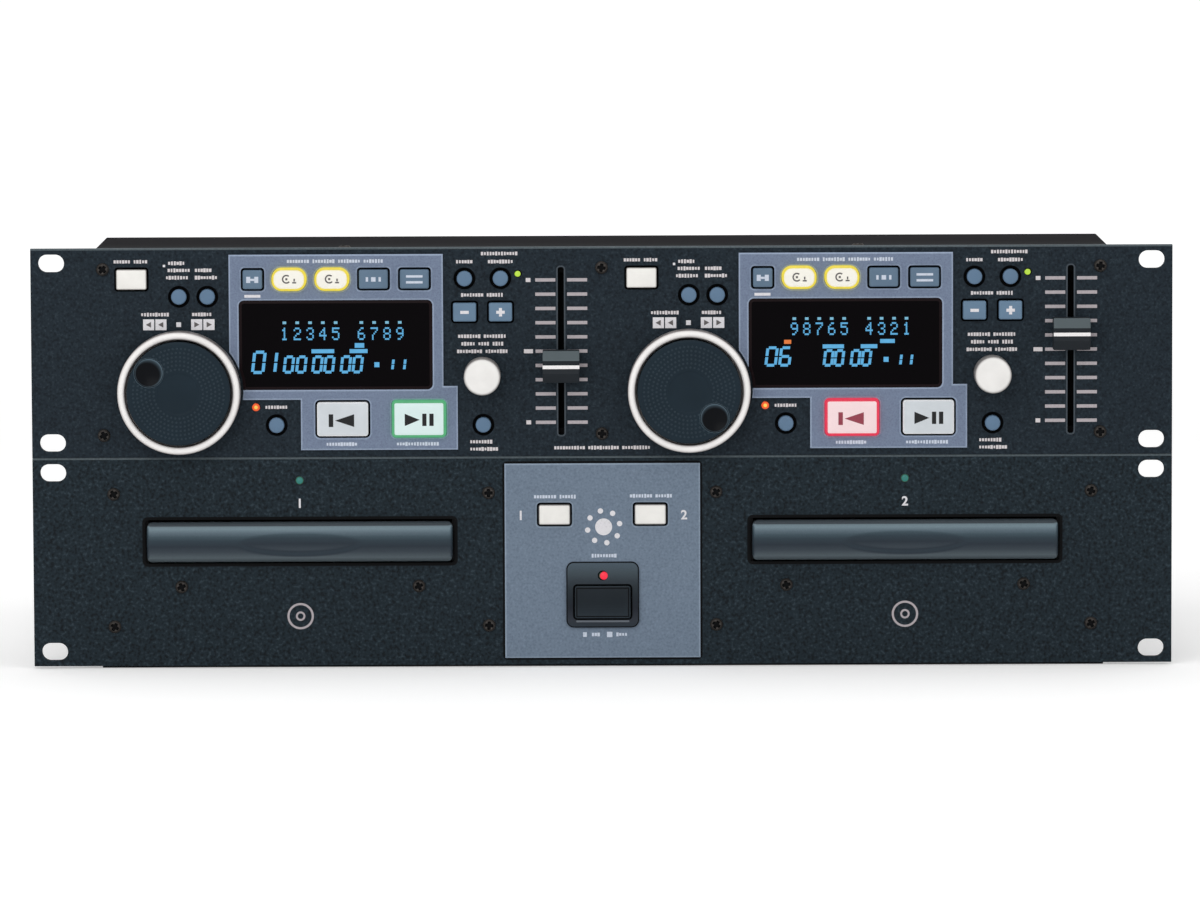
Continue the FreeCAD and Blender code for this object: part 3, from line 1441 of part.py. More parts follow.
def drive_board():
    """Make the drive unit's boards, supply, switches, lamps and rear connectors."""
    rear = f"{REAR_WALL_Y} - main_board_inset"
    board_z = ("main_board_z", MAIN_BOARD_TOP_Z)
    pieces = [
        block(about("0", "main_board_wide"), ("main_board_front", rear), board_z),
        block(about("0", "middle_board_wide"), ("board_depth", "main_board_front"), board_z),
        block(about("0", "middle_board_wide"), ("board_depth", "board_depth + board_thick"),
              ("main_board_z", "front_board_top_z")),
        block(about("0", "supply_wide"), ("supply_front", "supply_front + supply_long"),
              (MAIN_BOARD_TOP_Z, f"{MAIN_BOARD_TOP_Z} + supply_high")),
        block(about("0", "power_switch_wide"),
              ("power_back + power_travel + switch_gap", "power_back + power_travel + power_switch_long"),
              (MAIN_BOARD_TOP_Z, "power_z + power_high/2")),
        level_rod("0", ("-(centre_plate_proud + bezel_proud)", "board_depth"), "power_lamp_z", "lamp_r"),
    ]
    for side in BOTH_SIDES:
        pieces.append(switch(f"{side}tray_key_x", "tray_key_z", "key_travel"))
        wide_x = f"{side}(main_board_wide/2 - board_post_inset)"
        narrow_x = f"{side}(middle_board_wide/2 - board_post_inset)"
        for x, y in ((wide_x, "main_board_front + board_post_inset"),
                     (wide_x, f"{rear} - board_post_inset"),
                     (narrow_x, "board_depth + board_post_inset")):
            pieces.append(upright(x, y, (FLOOR_Z, "main_board_z"), "post_r"))
        pieces.append(block(about(f"{side}jack_x", "jack_block_wide"),
                            (f"{REAR_WALL_Y} - jack_block_deep", REAR_WALL_Y),
                            ("main_board_z", "main_board_z + jack_block_high")))
    jack_y = (f"{REAR_WALL_Y} - sheet_thick", "drive_depth + jack_reach")
    for x, z in jack_places():
        pieces.append(level_rod(x, jack_y, z, "jack_r"))
    for tray in TRAYS.values():
        pieces.append(block(about(tray, "lamp_board_wide"), ("board_depth", "board_depth + board_thick"),
                            about("tray_lamp_z", "lamp_board_high")))
        pieces.append(level_rod(tray, ("0", "board_depth"), "tray_lamp_z", "tray_lamp_r"))
        for side in BOTH_SIDES:
            pieces.append(level_rod(f"{tray} + ({side}lamp_post_spread/2)",
                                    ("panel_thick", "board_depth"), "tray_lamp_z", "post_r"))
    cuts = [level_rod(x, ("drive_depth", "drive_depth + 2*jack_reach"), z, "jack_pin_r")
            for x, z in jack_places()]
    cuts.append(block(about("0", "power_wide + 2*power_board_gap"),
                      ("panel_thick", "board_depth + 2*board_thick"),
                      about("power_z", "power_high + 2*power_board_gap")))
    finish(joined([without(joined(pieces), cuts), mains_inlet()]), "drive_board", DRIVE_Z)


# --- screws --------------------------------------------------------------------------

def panel_screw(x, z, rise):
    """Return a screw through a panel: a domed head on a shank."""
    shank = level_rod(x, ("-screw_head_high/2", "screw_length"), f"{z} + {rise}", "screw_r")
    head = level_rod(x, ("-screw_head_high/2", "0"), f"{z} + {rise}", "screw_head_r")
    dome = doc.addObject("Part::Cone", "dome")
    tie(dome, "Radius1", "screw_head_r")
    tie(dome, "Radius2", "screw_r")
    tie(dome, "Height", "screw_head_high/2")
    dome.Placement = Placement(Vector(), Rotation(Vector(1, 0, 0), 90))
    place(dome, x, "-screw_head_high/2", f"{z} + {rise}")
    return [shank, head, dome]


def panel_screws():
    """Make the screws of both panels and of the control unit's case top."""
    pieces = []
    for x, z in case_screw_places() + loader_screw_places():
        pieces += panel_screw(x, z, "0")
    for x, z in control_screw_places():
        pieces += panel_screw(x, z, UNIT_PITCH)
    for side in BOTH_SIDES:
        x = f"{side}top_screw_x"
        top = f"{UNIT_PITCH} + {CASE_TOP_Z}"
        pieces.append(upright(x, "top_screw_y", (f"{top} - sheet_thick", top), "screw_r"))
        pieces.append(upright(x, "top_screw_y", (top, f"{top} + screw_head_high/2"), "screw_head_r"))
    finish(joined(pieces), "panel_screws", DRIVE_Z)


# --- the whole object ----------------------------------------------------------------

def build():
    """Make every sub-part."""
    fill_sheet()
    control_panel()
    control_plates()
    display_windows()
    control_board()
    control_case()
    drive_panel()
    drive_plate()
    switch_bezel()
    drive_board()
    drive_case()
    drive_cover()
    loader_frames()
    panel_screws()
    for deck, dimple_angle in zip(DECKS, ("first_dimple_angle", "second_dimple_angle")):
        deck_keys(deck)
        shuttle_ring(deck)
        jog_disc(deck, dimple_angle)
        select_knob(deck)
        tempo_slider(deck)
    for tray in TRAYS:
        disc_tray(tray)
        loading_gear(tray)
    tray_keys()
    power_button()
    doc.recompute()


def check():
    """Stop if a feature failed, a sub-part is unsound or a pocket cut nothing."""
    for thing in doc.Objects:
        if any(state in thing.State for state in ("Invalid", "Error")):
            raise RuntimeError(f"{thing.Label} failed: {thing.State}")
        if thing.TypeId == "PartDesign::Pocket":
            if thing.Shape.Volume > thing.BaseFeature.Shape.Volume - 1e-6:
                raise RuntimeError(f"{thing.Label} cuts nothing")
    for thing in sub_parts:
        if thing.Shape.isNull() or not thing.Shape.isValid():
            raise RuntimeError(f"{thing.Label} is not a sound shape")


def export():
    """Write each sub-part to a file that has its label as its name."""
    os.makedirs("parts", exist_ok=True)
    for thing in sub_parts:
        thing.Shape.exportStep(f"parts/{thing.Label}.step")
        print(f"{thing.Label}: {len(thing.Shape.Solids)} solid(s), {thing.Shape.Volume:.0f} mm3")


build()
check()
export()
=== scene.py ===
"""The finished look of a dual disc player for a nineteen-inch rack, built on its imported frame."""
import logging
import math
from collections.abc import Callable, Sequence
from dataclasses import dataclass, field
from enum import Enum

import bmesh
import bpy
from mathutils import Matrix, Vector


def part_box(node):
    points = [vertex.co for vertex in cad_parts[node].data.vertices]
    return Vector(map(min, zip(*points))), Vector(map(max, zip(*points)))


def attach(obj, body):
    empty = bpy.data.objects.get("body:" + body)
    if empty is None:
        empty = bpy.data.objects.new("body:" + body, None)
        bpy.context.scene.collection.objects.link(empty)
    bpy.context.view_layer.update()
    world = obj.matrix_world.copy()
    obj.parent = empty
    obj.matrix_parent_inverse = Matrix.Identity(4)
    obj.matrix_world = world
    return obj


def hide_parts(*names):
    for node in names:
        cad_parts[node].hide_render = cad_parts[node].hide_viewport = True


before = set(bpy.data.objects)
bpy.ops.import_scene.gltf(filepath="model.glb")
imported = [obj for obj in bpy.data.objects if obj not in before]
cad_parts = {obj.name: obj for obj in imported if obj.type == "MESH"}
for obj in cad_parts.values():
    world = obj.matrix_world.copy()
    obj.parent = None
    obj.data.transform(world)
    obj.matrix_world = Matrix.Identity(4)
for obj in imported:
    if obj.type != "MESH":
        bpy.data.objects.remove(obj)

LOG = logging.getLogger("disc_player")

MM = 0.001
ROUND_STEPS = 96
CORNER_STEPS = 6
EDGE_STEPS = 4
ARC_STEPS = 18
DOT_STEPS = 10
SMALL_STEPS = 24
FACE_REACH = 1.0
FAR = 1.0
MERGE_REACH = 1e-6
CUT_REACH = 1e-7
EDGE_REACH = 1e-5
CHAMFER_HIGH = 0.7
CHAMFER_DEEP = 0.4
PLATE_CHAMFER = (0.6, 0.3)
BEZEL_CHAMFER = (0.5, 0.4)
GLASS_CHAMFER = (1.2, 0.2)
CROWN_STEPS = ((0.8, 0.45), (2.0, 0.0))
SHARP_ANGLE = 50
NUMERAL_SIZE = 5.4
NUMERAL_SWELL = 0.14
LENS_ROOT = 2.5
LENS_TURN = 85
LENS_HIGH = 0.5
LENS_SINK = 0.2
GLYPH_ROWS = 7
BLOCK_PITCH = 1.2
BLOCK_WIDE = 1.06
BLOCK_HIGH = 1.7
BLOCK_UNEVEN = 0.35
BOX_SEED = 11
PRINT_THICK = 0.04
PRINT_ROOT = 0.02
CHASSIS = "chassis"

Colour = tuple[float, float, float]
Stop = tuple[float, Colour]
Point = tuple[float, float]
Outline = list[Point]
Level = tuple[Outline, float | Callable[[float, float], float]]


def srgb(red: int, green: int, blue: int) -> Colour:
    """Turn a display colour of 0 to 255 into the linear values that shaders use.

    Args:
        red: Red, 0 to 255.
        green: Green, 0 to 255.
        blue: Blue, 0 to 255.

    Returns:
        The linear colour.
    """
    def linear(level: int) -> float:
        """Return one linear channel."""
        share = level / 255
        return share / 12.92 if share <= 0.04045 else ((share + 0.055) / 1.055) ** 2.4

    return linear(red), linear(green), linear(blue)


def scaled(colour: Colour, factor: float) -> Colour:
    """Return a colour made brighter or darker by a factor."""
    return tuple(min(channel * factor, 1.0) for channel in colour)


def seen_directly(tree: bpy.types.NodeTree) -> bpy.types.NodeSocket:
    """Return a value of 1 for what the camera sees, also in a gloss or through glass.

    Args:
        tree: The node tree to add to.

    Returns:
        The socket that holds the value.
    """
    path = tree.nodes.new("ShaderNodeLightPath")
    total = path.outputs["Is Camera Ray"]
    for ray in ("Is Glossy Ray", "Is Transmission Ray"):
        added = tree.nodes.new("ShaderNodeMath")
        added.use_clamp = True
        tree.links.new(total, added.inputs[0])
        tree.links.new(path.outputs[ray], added.inputs[1])
        total = added.outputs[0]
    return total


# --- finishes ----------------------------------------------------------------------


class NodeWriter:
    """Adds nodes and links to a node tree."""

    tree: bpy.types.NodeTree

    def add(self, kind: str, **settings: object) -> bpy.types.Node:
        """Add a node and set its properties.

        Args:
            kind: The node's type.
            **settings: Properties to set on it.

        Returns:
            The node.
        """
        node = self.tree.nodes.new(kind)
        for name, value in settings.items():
            setattr(node, name, value)
        return node

    def link(self, source: bpy.types.NodeSocket, target: bpy.types.NodeSocket) -> None:
        """Join two sockets."""
        self.tree.links.new(source, target)


class Shader(NodeWriter):
    """Writes the node tree of one material."""

    def __init__(self, name: str) -> None:
        """Start an empty material.

        Args:
            name: The material's name.
        """
        self.material = bpy.data.materials.new(name)
        self.material.use_nodes = True
        self.tree = self.material.node_tree
        self.tree.nodes.clear()
        self.output = self.add("ShaderNodeOutputMaterial")

    def noise(self, size_mm: float, detail: float) -> bpy.types.Node:
        """Add a noise whose features have a given size on the object.

        Args:
            size_mm: The size of a feature.
            detail: The number of finer octaves.

        Returns:
            The noise node.
        """
        place = self.add("ShaderNodeTexCoord")
        noise = self.add("ShaderNodeTexNoise")
        noise.inputs["Scale"].default_value = 1 / (size_mm * MM)
        noise.inputs["Detail"].default_value = detail
        self.link(place.outputs["Object"], noise.inputs["Vector"])
        return noise

    def ramp(self, source: bpy.types.NodeSocket, stops: Sequence[Stop]) -> bpy.types.Node:
        """Add a colour ramp.

        Args:
            source: What the ramp reads.
            stops: Each stop's position and colour.

        Returns:
            The ramp node.
        """
        ramp = self.add("ShaderNodeValToRGB")
        elements = ramp.color_ramp.elements
        while len(elements) < len(stops):
            elements.new(0.5)
        for element, (position, colour) in zip(elements, stops):
            element.position = position
            element.color = (*colour, 1.0)
        self.link(source, ramp.inputs["Fac"])
        return ramp

    def mottle(self, target: bpy.types.NodeSocket, size_mm: float, stops: Sequence[Stop],
               detail: float = 3.0) -> None:
        """Let a noise choose a socket's colour."""
        ramp = self.ramp(self.noise(size_mm, detail).outputs["Fac"], stops)
        self.link(ramp.outputs["Color"], target)

    def shade(self, target: bpy.types.NodeSocket, shade: bpy.types.NodeSocket, size_mm: float,
              stops: Sequence[Stop]) -> None:
        """Give a socket a colour that a noise dims in patches.

        Args:
            target: The socket.
            shade: The colour.
            size_mm: The size of a patch.
            stops: What the colour is multiplied by, from low noise to high.
        """
        dimmed = self.add("ShaderNodeVectorMath", operation="MULTIPLY")
        self.link(shade, dimmed.inputs[0])
        self.mottle(dimmed.inputs[1], size_mm, stops)
        self.link(dimmed.outputs["Vector"], target)

    def relief(self, surface: bpy.types.Node, size_mm: float, detail: float, strength: float,
               depth_mm: float) -> None:
        """Give a surface a raised grain.

        Args:
            surface: The surface shader.
            size_mm: The size of a grain.
            detail: The number of finer octaves.
            strength: How strongly the grain acts.
            depth_mm: Its height.
        """
        bump = self.add("ShaderNodeBump")
        bump.inputs["Strength"].default_value = strength
        bump.inputs["Distance"].default_value = depth_mm * MM
        self.link(self.noise(size_mm, detail).outputs["Fac"], bump.inputs["Height"])
        self.link(bump.outputs["Normal"], surface.inputs["Normal"])

    def surface(self, **values: float | Colour) -> bpy.types.Node:
        """Add the surface shader and join it to the output.

        Args:
            **values: Socket values; a name's underscores stand for spaces.

        Returns:
            The shader node.
        """
        shader = self.add("ShaderNodeBsdfPrincipled")
        for name, value in values.items():
            socket = shader.inputs[name.replace("_", " ")]
            socket.default_value = (*value, 1.0) if isinstance(value, tuple) else value
        self.link(shader.outputs["BSDF"], self.output.inputs["Surface"])
        return shader


class Finish:
    """A finish that makes its material once."""

    name: str
    made: dict[str, bpy.types.Material] = {}

    def write(self, shader: Shader) -> None:
        """Write the material's nodes."""
        raise NotImplementedError

    def material(self) -> bpy.types.Material:
        """Return the material, written the first time it is asked for."""
        if self.name not in Finish.made:
            shader = Shader(self.name)
            self.write(shader)
            Finish.made[self.name] = shader.material
        return Finish.made[self.name]


@dataclass(frozen=True)
class Moulding(Finish):
    """A moulded plastic with a fine grain and slightly uneven colour."""

    name: str
    colour: Colour
    roughness: float = 0.42
    unevenness: float = 0.06
    grain_mm: float = 0.35
    grain_depth_mm: float = 0.05
    relief: float = 0.12
    specular: float = 0.5

    def write(self, shader: Shader) -> None:
        """Write the material's nodes."""
        surface = shader.surface(Roughness=self.roughness, Specular_IOR_Level=self.specular)
        shader.mottle(surface.inputs["Base Color"], 14.0,
                      [(0.3, scaled(self.colour, 1 - self.unevenness)),
                       (0.7, scaled(self.colour, 1 + self.unevenness))])
        shader.relief(surface, self.grain_mm, 2.0, self.relief, self.grain_depth_mm)


@dataclass(frozen=True)
class Sheen(Finish):
    """A gloss whose colour is painted where its face turns from the view: a painted highlight where its turned
    colour is lighter, painted shade where it is darker.
    """

    name: str
    colour: Colour
    # The colour painted where the face turns from the view: a painted highlight when lighter than the colour,
    # painted shade when darker.
    turned: Colour
    start: float = 0.006
    end: float = 0.07
    roughness: float = 0.25
    specular: float = 0.25

    def write(self, shader: Shader) -> None:
        """Write the material's nodes."""
        surface = shader.surface(Roughness=self.roughness, Specular_IOR_Level=self.specular)
        # Paint the turned colour by how far each face turns from the view.
        turning = shader.add("ShaderNodeLayerWeight")
        turning.inputs["Blend"].default_value = 0.5
        colour = shader.ramp(turning.outputs["Facing"], [(self.start, self.colour), (self.end, self.turned)])
        shader.shade(surface.inputs["Base Color"], colour.outputs["Color"], 9.0,
                     [(0.3, (0.9,) * 3), (0.7, (1.0,) * 3)])


@dataclass(frozen=True)
class TexturedPaint(Finish):
    """A dark baked paint with a raised texture and lighter and darker flecks."""

    name: str
    colour: Colour
    fleck: Colour
    pit: Colour
    fleck_mm: float = 1.0
    relief_mm: float = 0.12
    roughness: float = 0.5
    specular: float = 0.5

    def write(self, shader: Shader) -> None:
        """Write the material's nodes."""
        surface = shader.surface(Roughness=self.roughness, Specular_IOR_Level=self.specular)
        stops = [(0.36, self.pit), (0.48, self.colour), (0.56, self.colour), (0.70, self.fleck)]
        shader.mottle(surface.inputs["Base Color"], self.fleck_mm, stops, 4.0)
        shader.relief(surface, self.fleck_mm * 0.6, 3.0, 0.55, self.relief_mm)


@dataclass(frozen=True)
class Graded(Finish):
    """A finish whose colour changes along the object, or with how a face tilts, as painted light: painted sheen,
    highlight, reflection and shade.
    """

    name: str
    source: str
    axis: str
    low: float
    high: float
    stops: tuple[Stop, ...]
    roughness: float = 0.5
    specular: float = 0.1
    upright: Colour | None = None

    def upright_shade(self, shader: Shader, place: bpy.types.Node,
                      shade: bpy.types.NodeSocket) -> bpy.types.NodeSocket:
        """Give the faces that stand upright their own colour.

        Args:
            shader: The material being written.
            place: Its texture coordinates.
            shade: The colour of the faces that look up.

        Returns:
            The socket that holds the colour of both.
        """
        normal = shader.add("ShaderNodeSeparateXYZ")
        shader.link(place.outputs["Normal"], normal.inputs["Vector"])
        flat = shader.add("ShaderNodeMath", operation="GREATER_THAN")
        shader.link(normal.outputs["Z"], flat.inputs[0])
        both = shader.add("ShaderNodeMix", data_type="RGBA")
        both.inputs[6].default_value = (*self.upright, 1.0)
        shader.link(flat.outputs[0], both.inputs[0])
        shader.link(shade, both.inputs[7])
        return both.outputs[2]

    def write(self, shader: Shader) -> None:
        """Write the material's nodes."""
        surface = shader.surface(Roughness=self.roughness, Specular_IOR_Level=self.specular)
        place = shader.add("ShaderNodeTexCoord")
        parts = shader.add("ShaderNodeSeparateXYZ")
        shader.link(place.outputs[self.source], parts.inputs["Vector"])
        share = shader.add("ShaderNodeMapRange")
        share.inputs["From Min"].default_value = self.low
        share.inputs["From Max"].default_value = self.high
        shader.link(parts.outputs[self.axis], share.inputs["Value"])
        # The ramp's colours are painted light and shade laid into the base colour.
        shade = shader.ramp(share.outputs["Result"], self.stops).outputs["Color"]
        if self.upright:
            shade = self.upright_shade(shader, place, shade)
        shader.shade(surface.inputs["Base Color"], shade, 0.5, [(0.35, (0.92,) * 3), (0.65, (1.0,) * 3)])


@dataclass(frozen=True)
class Ink(Finish):
    """Screen-printed ink, a little thin in places."""

    name: str
    colour: Colour
    roughness: float = 0.6

    def write(self, shader: Shader) -> None:
        """Write the material's nodes."""
        surface = shader.surface(Roughness=self.roughness, Specular_IOR_Level=0.3)
        shader.mottle(surface.inputs["Base Color"], 0.8,
                      [(0.25, scaled(self.colour, 0.86)), (0.5, self.colour)])


@dataclass(frozen=True)
class Glow(Finish):
    """A lit lens or display cell, brighter in its middle tones."""

    name: str
    colour: Colour
    strength: float = 1.0
    unlit: Colour = (0.02, 0.02, 0.02)

    def write(self, shader: Shader) -> None:
        """Write the material's nodes."""
        surface = shader.surface(Roughness=0.35, Base_Color=self.unlit, Specular_IOR_Level=0.3,
                                 Emission_Strength=self.strength)
        shader.mottle(surface.inputs["Emission Color"], 2.0,
                      [(0.3, scaled(self.colour, 0.88)), (0.65, self.colour)])


@dataclass(frozen=True)
class Metal(Finish):
    """A machined or plated metal with fine scratches."""

    name: str
    colour: Colour
    roughness: float = 0.3

    def write(self, shader: Shader) -> None:
        """Write the material's nodes."""
        surface = shader.surface(Metallic=1.0)
        shader.mottle(surface.inputs["Base Color"], 3.0,
                      [(0.3, scaled(self.colour, 0.85)), (0.7, scaled(self.colour, 1.1))])
        low, high = (self.roughness * 0.8,) * 3, (self.roughness * 1.25,) * 3
        shader.mottle(surface.inputs["Roughness"], 0.6, [(0.3, low), (0.7, high)])


CONTROL_PAINT = TexturedPaint("control_panel_paint", srgb(28, 38, 46), srgb(42, 53, 61), srgb(18, 26, 33),
                              fleck_mm=1.0, relief_mm=0.05, roughness=0.6, specular=0.12)
DRIVE_PAINT = TexturedPaint("drive_panel_paint", srgb(27, 38, 45), srgb(48, 60, 68), srgb(13, 20, 25),
                            fleck_mm=1.3, relief_mm=0.08, roughness=0.6, specular=0.12)
# Casing paint whose tops are lighter towards the panels as a painted sheen and darker further back as painted
# shade; faces that stand upright keep the paint's plain colour.
CASING_PAINT_WITH_PAINTED_SHEEN = Graded("casing_paint", "Object", "Y", -0.122, -0.08,
                      ((0.0, srgb(47, 52, 55)), (0.3, srgb(34, 36, 39)), (0.5, srgb(27, 27, 29)),
                       (0.9, srgb(18, 17, 21))), roughness=0.8, specular=0.02,
                      upright=srgb(43, 44, 47))
# A lighter copy of the panel paint for the panels' top chamfer: a painted highlight on that edge.
PANEL_EDGE_PAINTED_HIGHLIGHT = TexturedPaint("panel_edge_painted_highlight", srgb(80, 90, 95), srgb(90, 100, 105), srgb(70, 79, 84),
                           fleck_mm=0.8, relief_mm=0.02, roughness=0.6, specular=0.15)
PLATE_PAINT = TexturedPaint("raised_plate_paint", srgb(116, 129, 152), srgb(124, 138, 161),
                            srgb(108, 120, 143), fleck_mm=0.7, relief_mm=0.01, roughness=0.55, specular=0.15)
# A lighter copy of the plate paint for the plates' chamfers: a painted highlight on their edges.
PLATE_EDGE_PAINTED_HIGHLIGHT = TexturedPaint("raised_plate_edge_painted_highlight", srgb(150, 165, 188), srgb(158, 173, 196),
                           srgb(142, 157, 180), fleck_mm=0.7, relief_mm=0.01, specular=0.2)
CENTRE_PAINT = TexturedPaint("centre_plate_paint", srgb(112, 127, 144), srgb(120, 135, 153),
                             srgb(104, 118, 135), fleck_mm=1.0, relief_mm=0.01, roughness=0.55, specular=0.15)
# A lighter copy of the centre plate's paint for its chamfer: a painted highlight on its edge.
CENTRE_EDGE_PAINTED_HIGHLIGHT = TexturedPaint("centre_plate_edge_painted_highlight", srgb(140, 156, 174), srgb(148, 164, 182),
                            srgb(132, 148, 166), fleck_mm=1.0, relief_mm=0.01, specular=0.2)
# White key plastic with painted shade on its rounded edges, darker where they turn from the view.
WHITE_CAP_PAINTED_EDGE_SHADE = Sheen("white_key_plastic_painted_edge_shade", srgb(248, 246, 241), srgb(160, 157, 154), start=0.01, end=0.4,
                  roughness=0.5, specular=0.3)
# Grey key plastic with a painted highlight on its rounded edges, lighter where they turn from the view.
GREY_CAP_PAINTED_EDGE_HIGHLIGHT = Sheen("cue_key_plastic_painted_edge_highlight", srgb(214, 220, 225), srgb(252, 253, 254), start=0.01, end=0.2,
                 roughness=0.5, specular=0.3)
CREAM_CAP = Moulding("lit_white_key_plastic", srgb(250, 247, 236), roughness=0.45, unevenness=0.02)
ROSE_CAP = Moulding("rose_lit_key_plastic", srgb(252, 224, 226), roughness=0.45, unevenness=0.03)
MINT_CAP = Moulding("green_lit_key_plastic", srgb(222, 242, 240), roughness=0.45, unevenness=0.03)
BLUE_CAP = Moulding("blue_grey_key_plastic", srgb(96, 122, 148), roughness=0.5, specular=0.2)
PALE_BLUE_CAP = Moulding("pale_blue_key_plastic", srgb(102, 128, 152), roughness=0.5, specular=0.2)
STEEL_BLUE_CAP = Moulding("steel_blue_key_plastic", srgb(96, 118, 139), roughness=0.5, specular=0.2)
# White ring plastic with painted shade on its rolled lip, darker where it turns from the view.
RING_WHITE_PAINTED_EDGE_SHADE = Sheen("white_ring_plastic_painted_edge_shade", srgb(254, 251, 249), srgb(150, 142, 141), start=0.03, end=0.75,
                   roughness=0.4, specular=0.3)
DISC_DARK = Moulding("dark_wheel_plastic", srgb(27, 40, 49), roughness=0.55, unevenness=0.1, specular=0.1)
DOT_DARK = Moulding("wheel_dot_plastic", srgb(40, 53, 62), roughness=0.5, specular=0.1)
# Dark dimple gloss with a painted highlight on the bowl's slopes, lighter where they turn from the view.
DIMPLE_PAINTED_SHEEN = Sheen("finger_dimple_painted_sheen", srgb(12, 14, 18), srgb(104, 126, 140), start=0.05, end=0.2,
                     roughness=0.3, specular=0.06)
# White knob plastic with painted shade on its rolled edge, darker where it turns from the view.
KNOB_WHITE_PAINTED_EDGE_SHADE = Sheen("white_knob_plastic_painted_edge_shade", srgb(248, 246, 243), srgb(150, 146, 144), start=0.02, end=0.6,
                   roughness=0.45, specular=0.3)
SLIDER_DARK = Moulding("slider_cap_plastic", srgb(30, 35, 40), roughness=0.5, specular=0.15)
# A lighter copy of the slider's dark plastic for its upper slope: a painted highlight where the slope faces the
# light above.
SLIDER_SLOPE_PAINTED_HIGHLIGHT = Moulding("slider_slope_painted_highlight", srgb(82, 92, 96), roughness=0.5, specular=0.2)
WINDOW_BLACK = Moulding("display_window_gloss", srgb(5, 3, 5), roughness=0.15, grain_mm=6.0,
                        relief=0.01, specular=0.03)
WINDOW_EDGE = Moulding("display_window_edge", srgb(26, 17, 19), roughness=0.3, specular=0.05)
# The bezel's colour changes with height as painted light: lightest towards its head as a painted highlight,
# darker lower down.
BEZEL_PAINTED_LIGHT = Graded("bezel_painted_light_and_shade", "Object", "Z", 0.0169, 0.0449,
                     ((0.02, srgb(46, 54, 62)), (0.11, srgb(50, 55, 63)), (0.3, srgb(34, 38, 46)),
                      (0.42, srgb(35, 41, 48)), (0.59, srgb(42, 50, 56)), (0.71, srgb(53, 61, 68)),
                      (0.83, srgb(66, 77, 84)), (0.95, srgb(74, 87, 97))), roughness=0.45)
# A light strip under the power button: a painted highlight on the bezel's lower lip.
BEZEL_LIP_PAINTED_HIGHLIGHT = Moulding("bezel_lip_painted_highlight", srgb(100, 106, 114), roughness=0.5, specular=0.2)
# Dark button gloss with a painted sheen, lighter where its bent face turns from the view.
BUTTON_PAINTED_SHEEN = Sheen("power_button_painted_sheen", srgb(30, 37, 43), srgb(48, 57, 64), start=0.006, end=0.06,
                     roughness=0.4, specular=0.1)
# Deep black: real black plastic on the boards, and painted shadow in the gaps round keys, bezel, button, plates
# and tray mouths and in the screw recesses.
BLACK_PLASTIC_AND_PAINTED_SHADOW = Moulding("deep_black_plastic_and_painted_shadow", srgb(7, 8, 10), roughness=0.7, specular=0.1)
# The tray front's colour follows how each face tilts: lightest where it tilts up, lighter again where it tilts
# down, darkest where it looks straight ahead; painted reflection and painted shade.
TRAY_FRONT_PAINTED_REFLECTION = Graded("tray_front_painted_reflection", "Normal", "Z", -0.4, 0.4,
                    ((0.07, srgb(76, 86, 92)), (0.16, srgb(85, 96, 102)), (0.29, srgb(60, 69, 77)),
                     (0.41, srgb(44, 53, 62)), (0.54, srgb(50, 63, 72)), (0.625, srgb(66, 82, 91)),
                     (0.71, srgb(92, 108, 118)), (0.79, srgb(116, 135, 144)), (0.88, srgb(106, 122, 130)),
                     (0.97, srgb(62, 70, 76))), roughness=0.35, specular=0.12)
TRAY_BLACK = Moulding("tray_moulding_plastic", srgb(24, 27, 32), roughness=0.6, specular=0.2)
LOADER_BLACK = Moulding("loader_plastic", srgb(24, 25, 27), roughness=0.6, specular=0.2)
GEAR_CREAM = Moulding("gear_acetal", srgb(226, 221, 205), roughness=0.45)
BOARD_GREEN = Moulding("board_laminate", srgb(28, 74, 48), roughness=0.4, unevenness=0.15)
SCREW_DARK = Metal("blackened_screw_steel", srgb(66, 63, 61), roughness=0.55)
JACK_GOLD = Metal("gilt_jack_plating", srgb(214, 178, 104), roughness=0.3)
PLATED_STEEL = Metal("plated_steel", srgb(176, 178, 182), roughness=0.35)
WHITE_INK = Ink("white_legend_ink", srgb(226, 224, 228))
WARM_INK = Ink("warm_legend_ink", srgb(214, 208, 210))
PALE_INK = Ink("pale_legend_ink", srgb(204, 212, 226))
LINE_WHITE = Ink("slider_line_ink", srgb(250, 247, 247))
SLOT_EDGE = Ink("slot_edge_paint", srgb(58, 67, 75))
GREY_INK = Ink("grey_scale_ink", srgb(178, 170, 174))
DIM_INK = Ink("dim_symbol_ink", srgb(96, 92, 92))
BLACK_INK = Ink("black_symbol_ink", srgb(14, 15, 18))
ROSE_INK = Ink("rose_symbol_ink", srgb(150, 62, 78))
DISPLAY_BLUE = Glow("display_blue_glow", srgb(84, 176, 228), 0.92)
DISPLAY_PALE = Glow("display_pale_glow", srgb(120, 190, 220), 0.9)
DISPLAY_ORANGE = Glow("display_orange_glow", srgb(236, 120, 34), 0.9)
AMBER_LAMP = Glow("amber_lamp_glow", srgb(244, 92, 30), 1.0)
AMBER_HEART = Glow("amber_lamp_heart_glow", srgb(255, 208, 80), 1.0)
LIME_LAMP = Glow("lime_lamp_glow", srgb(186, 226, 60), 1.0)
TEAL_LAMP = Glow("teal_lamp_glow", srgb(28, 128, 120), 0.8)
RED_LAMP = Glow("red_lamp_glow", srgb(255, 28, 62), 1.0)
YELLOW_RIM = Glow("yellow_rim_glow", srgb(252, 230, 74), 0.88)
RED_RIM = Glow("red_rim_glow", srgb(240, 44, 80), 0.9)
GREEN_RIM = Glow("green_rim_glow", srgb(84, 182, 124), 0.85)


# --- outlines and meshes -------------------------------------------------------------


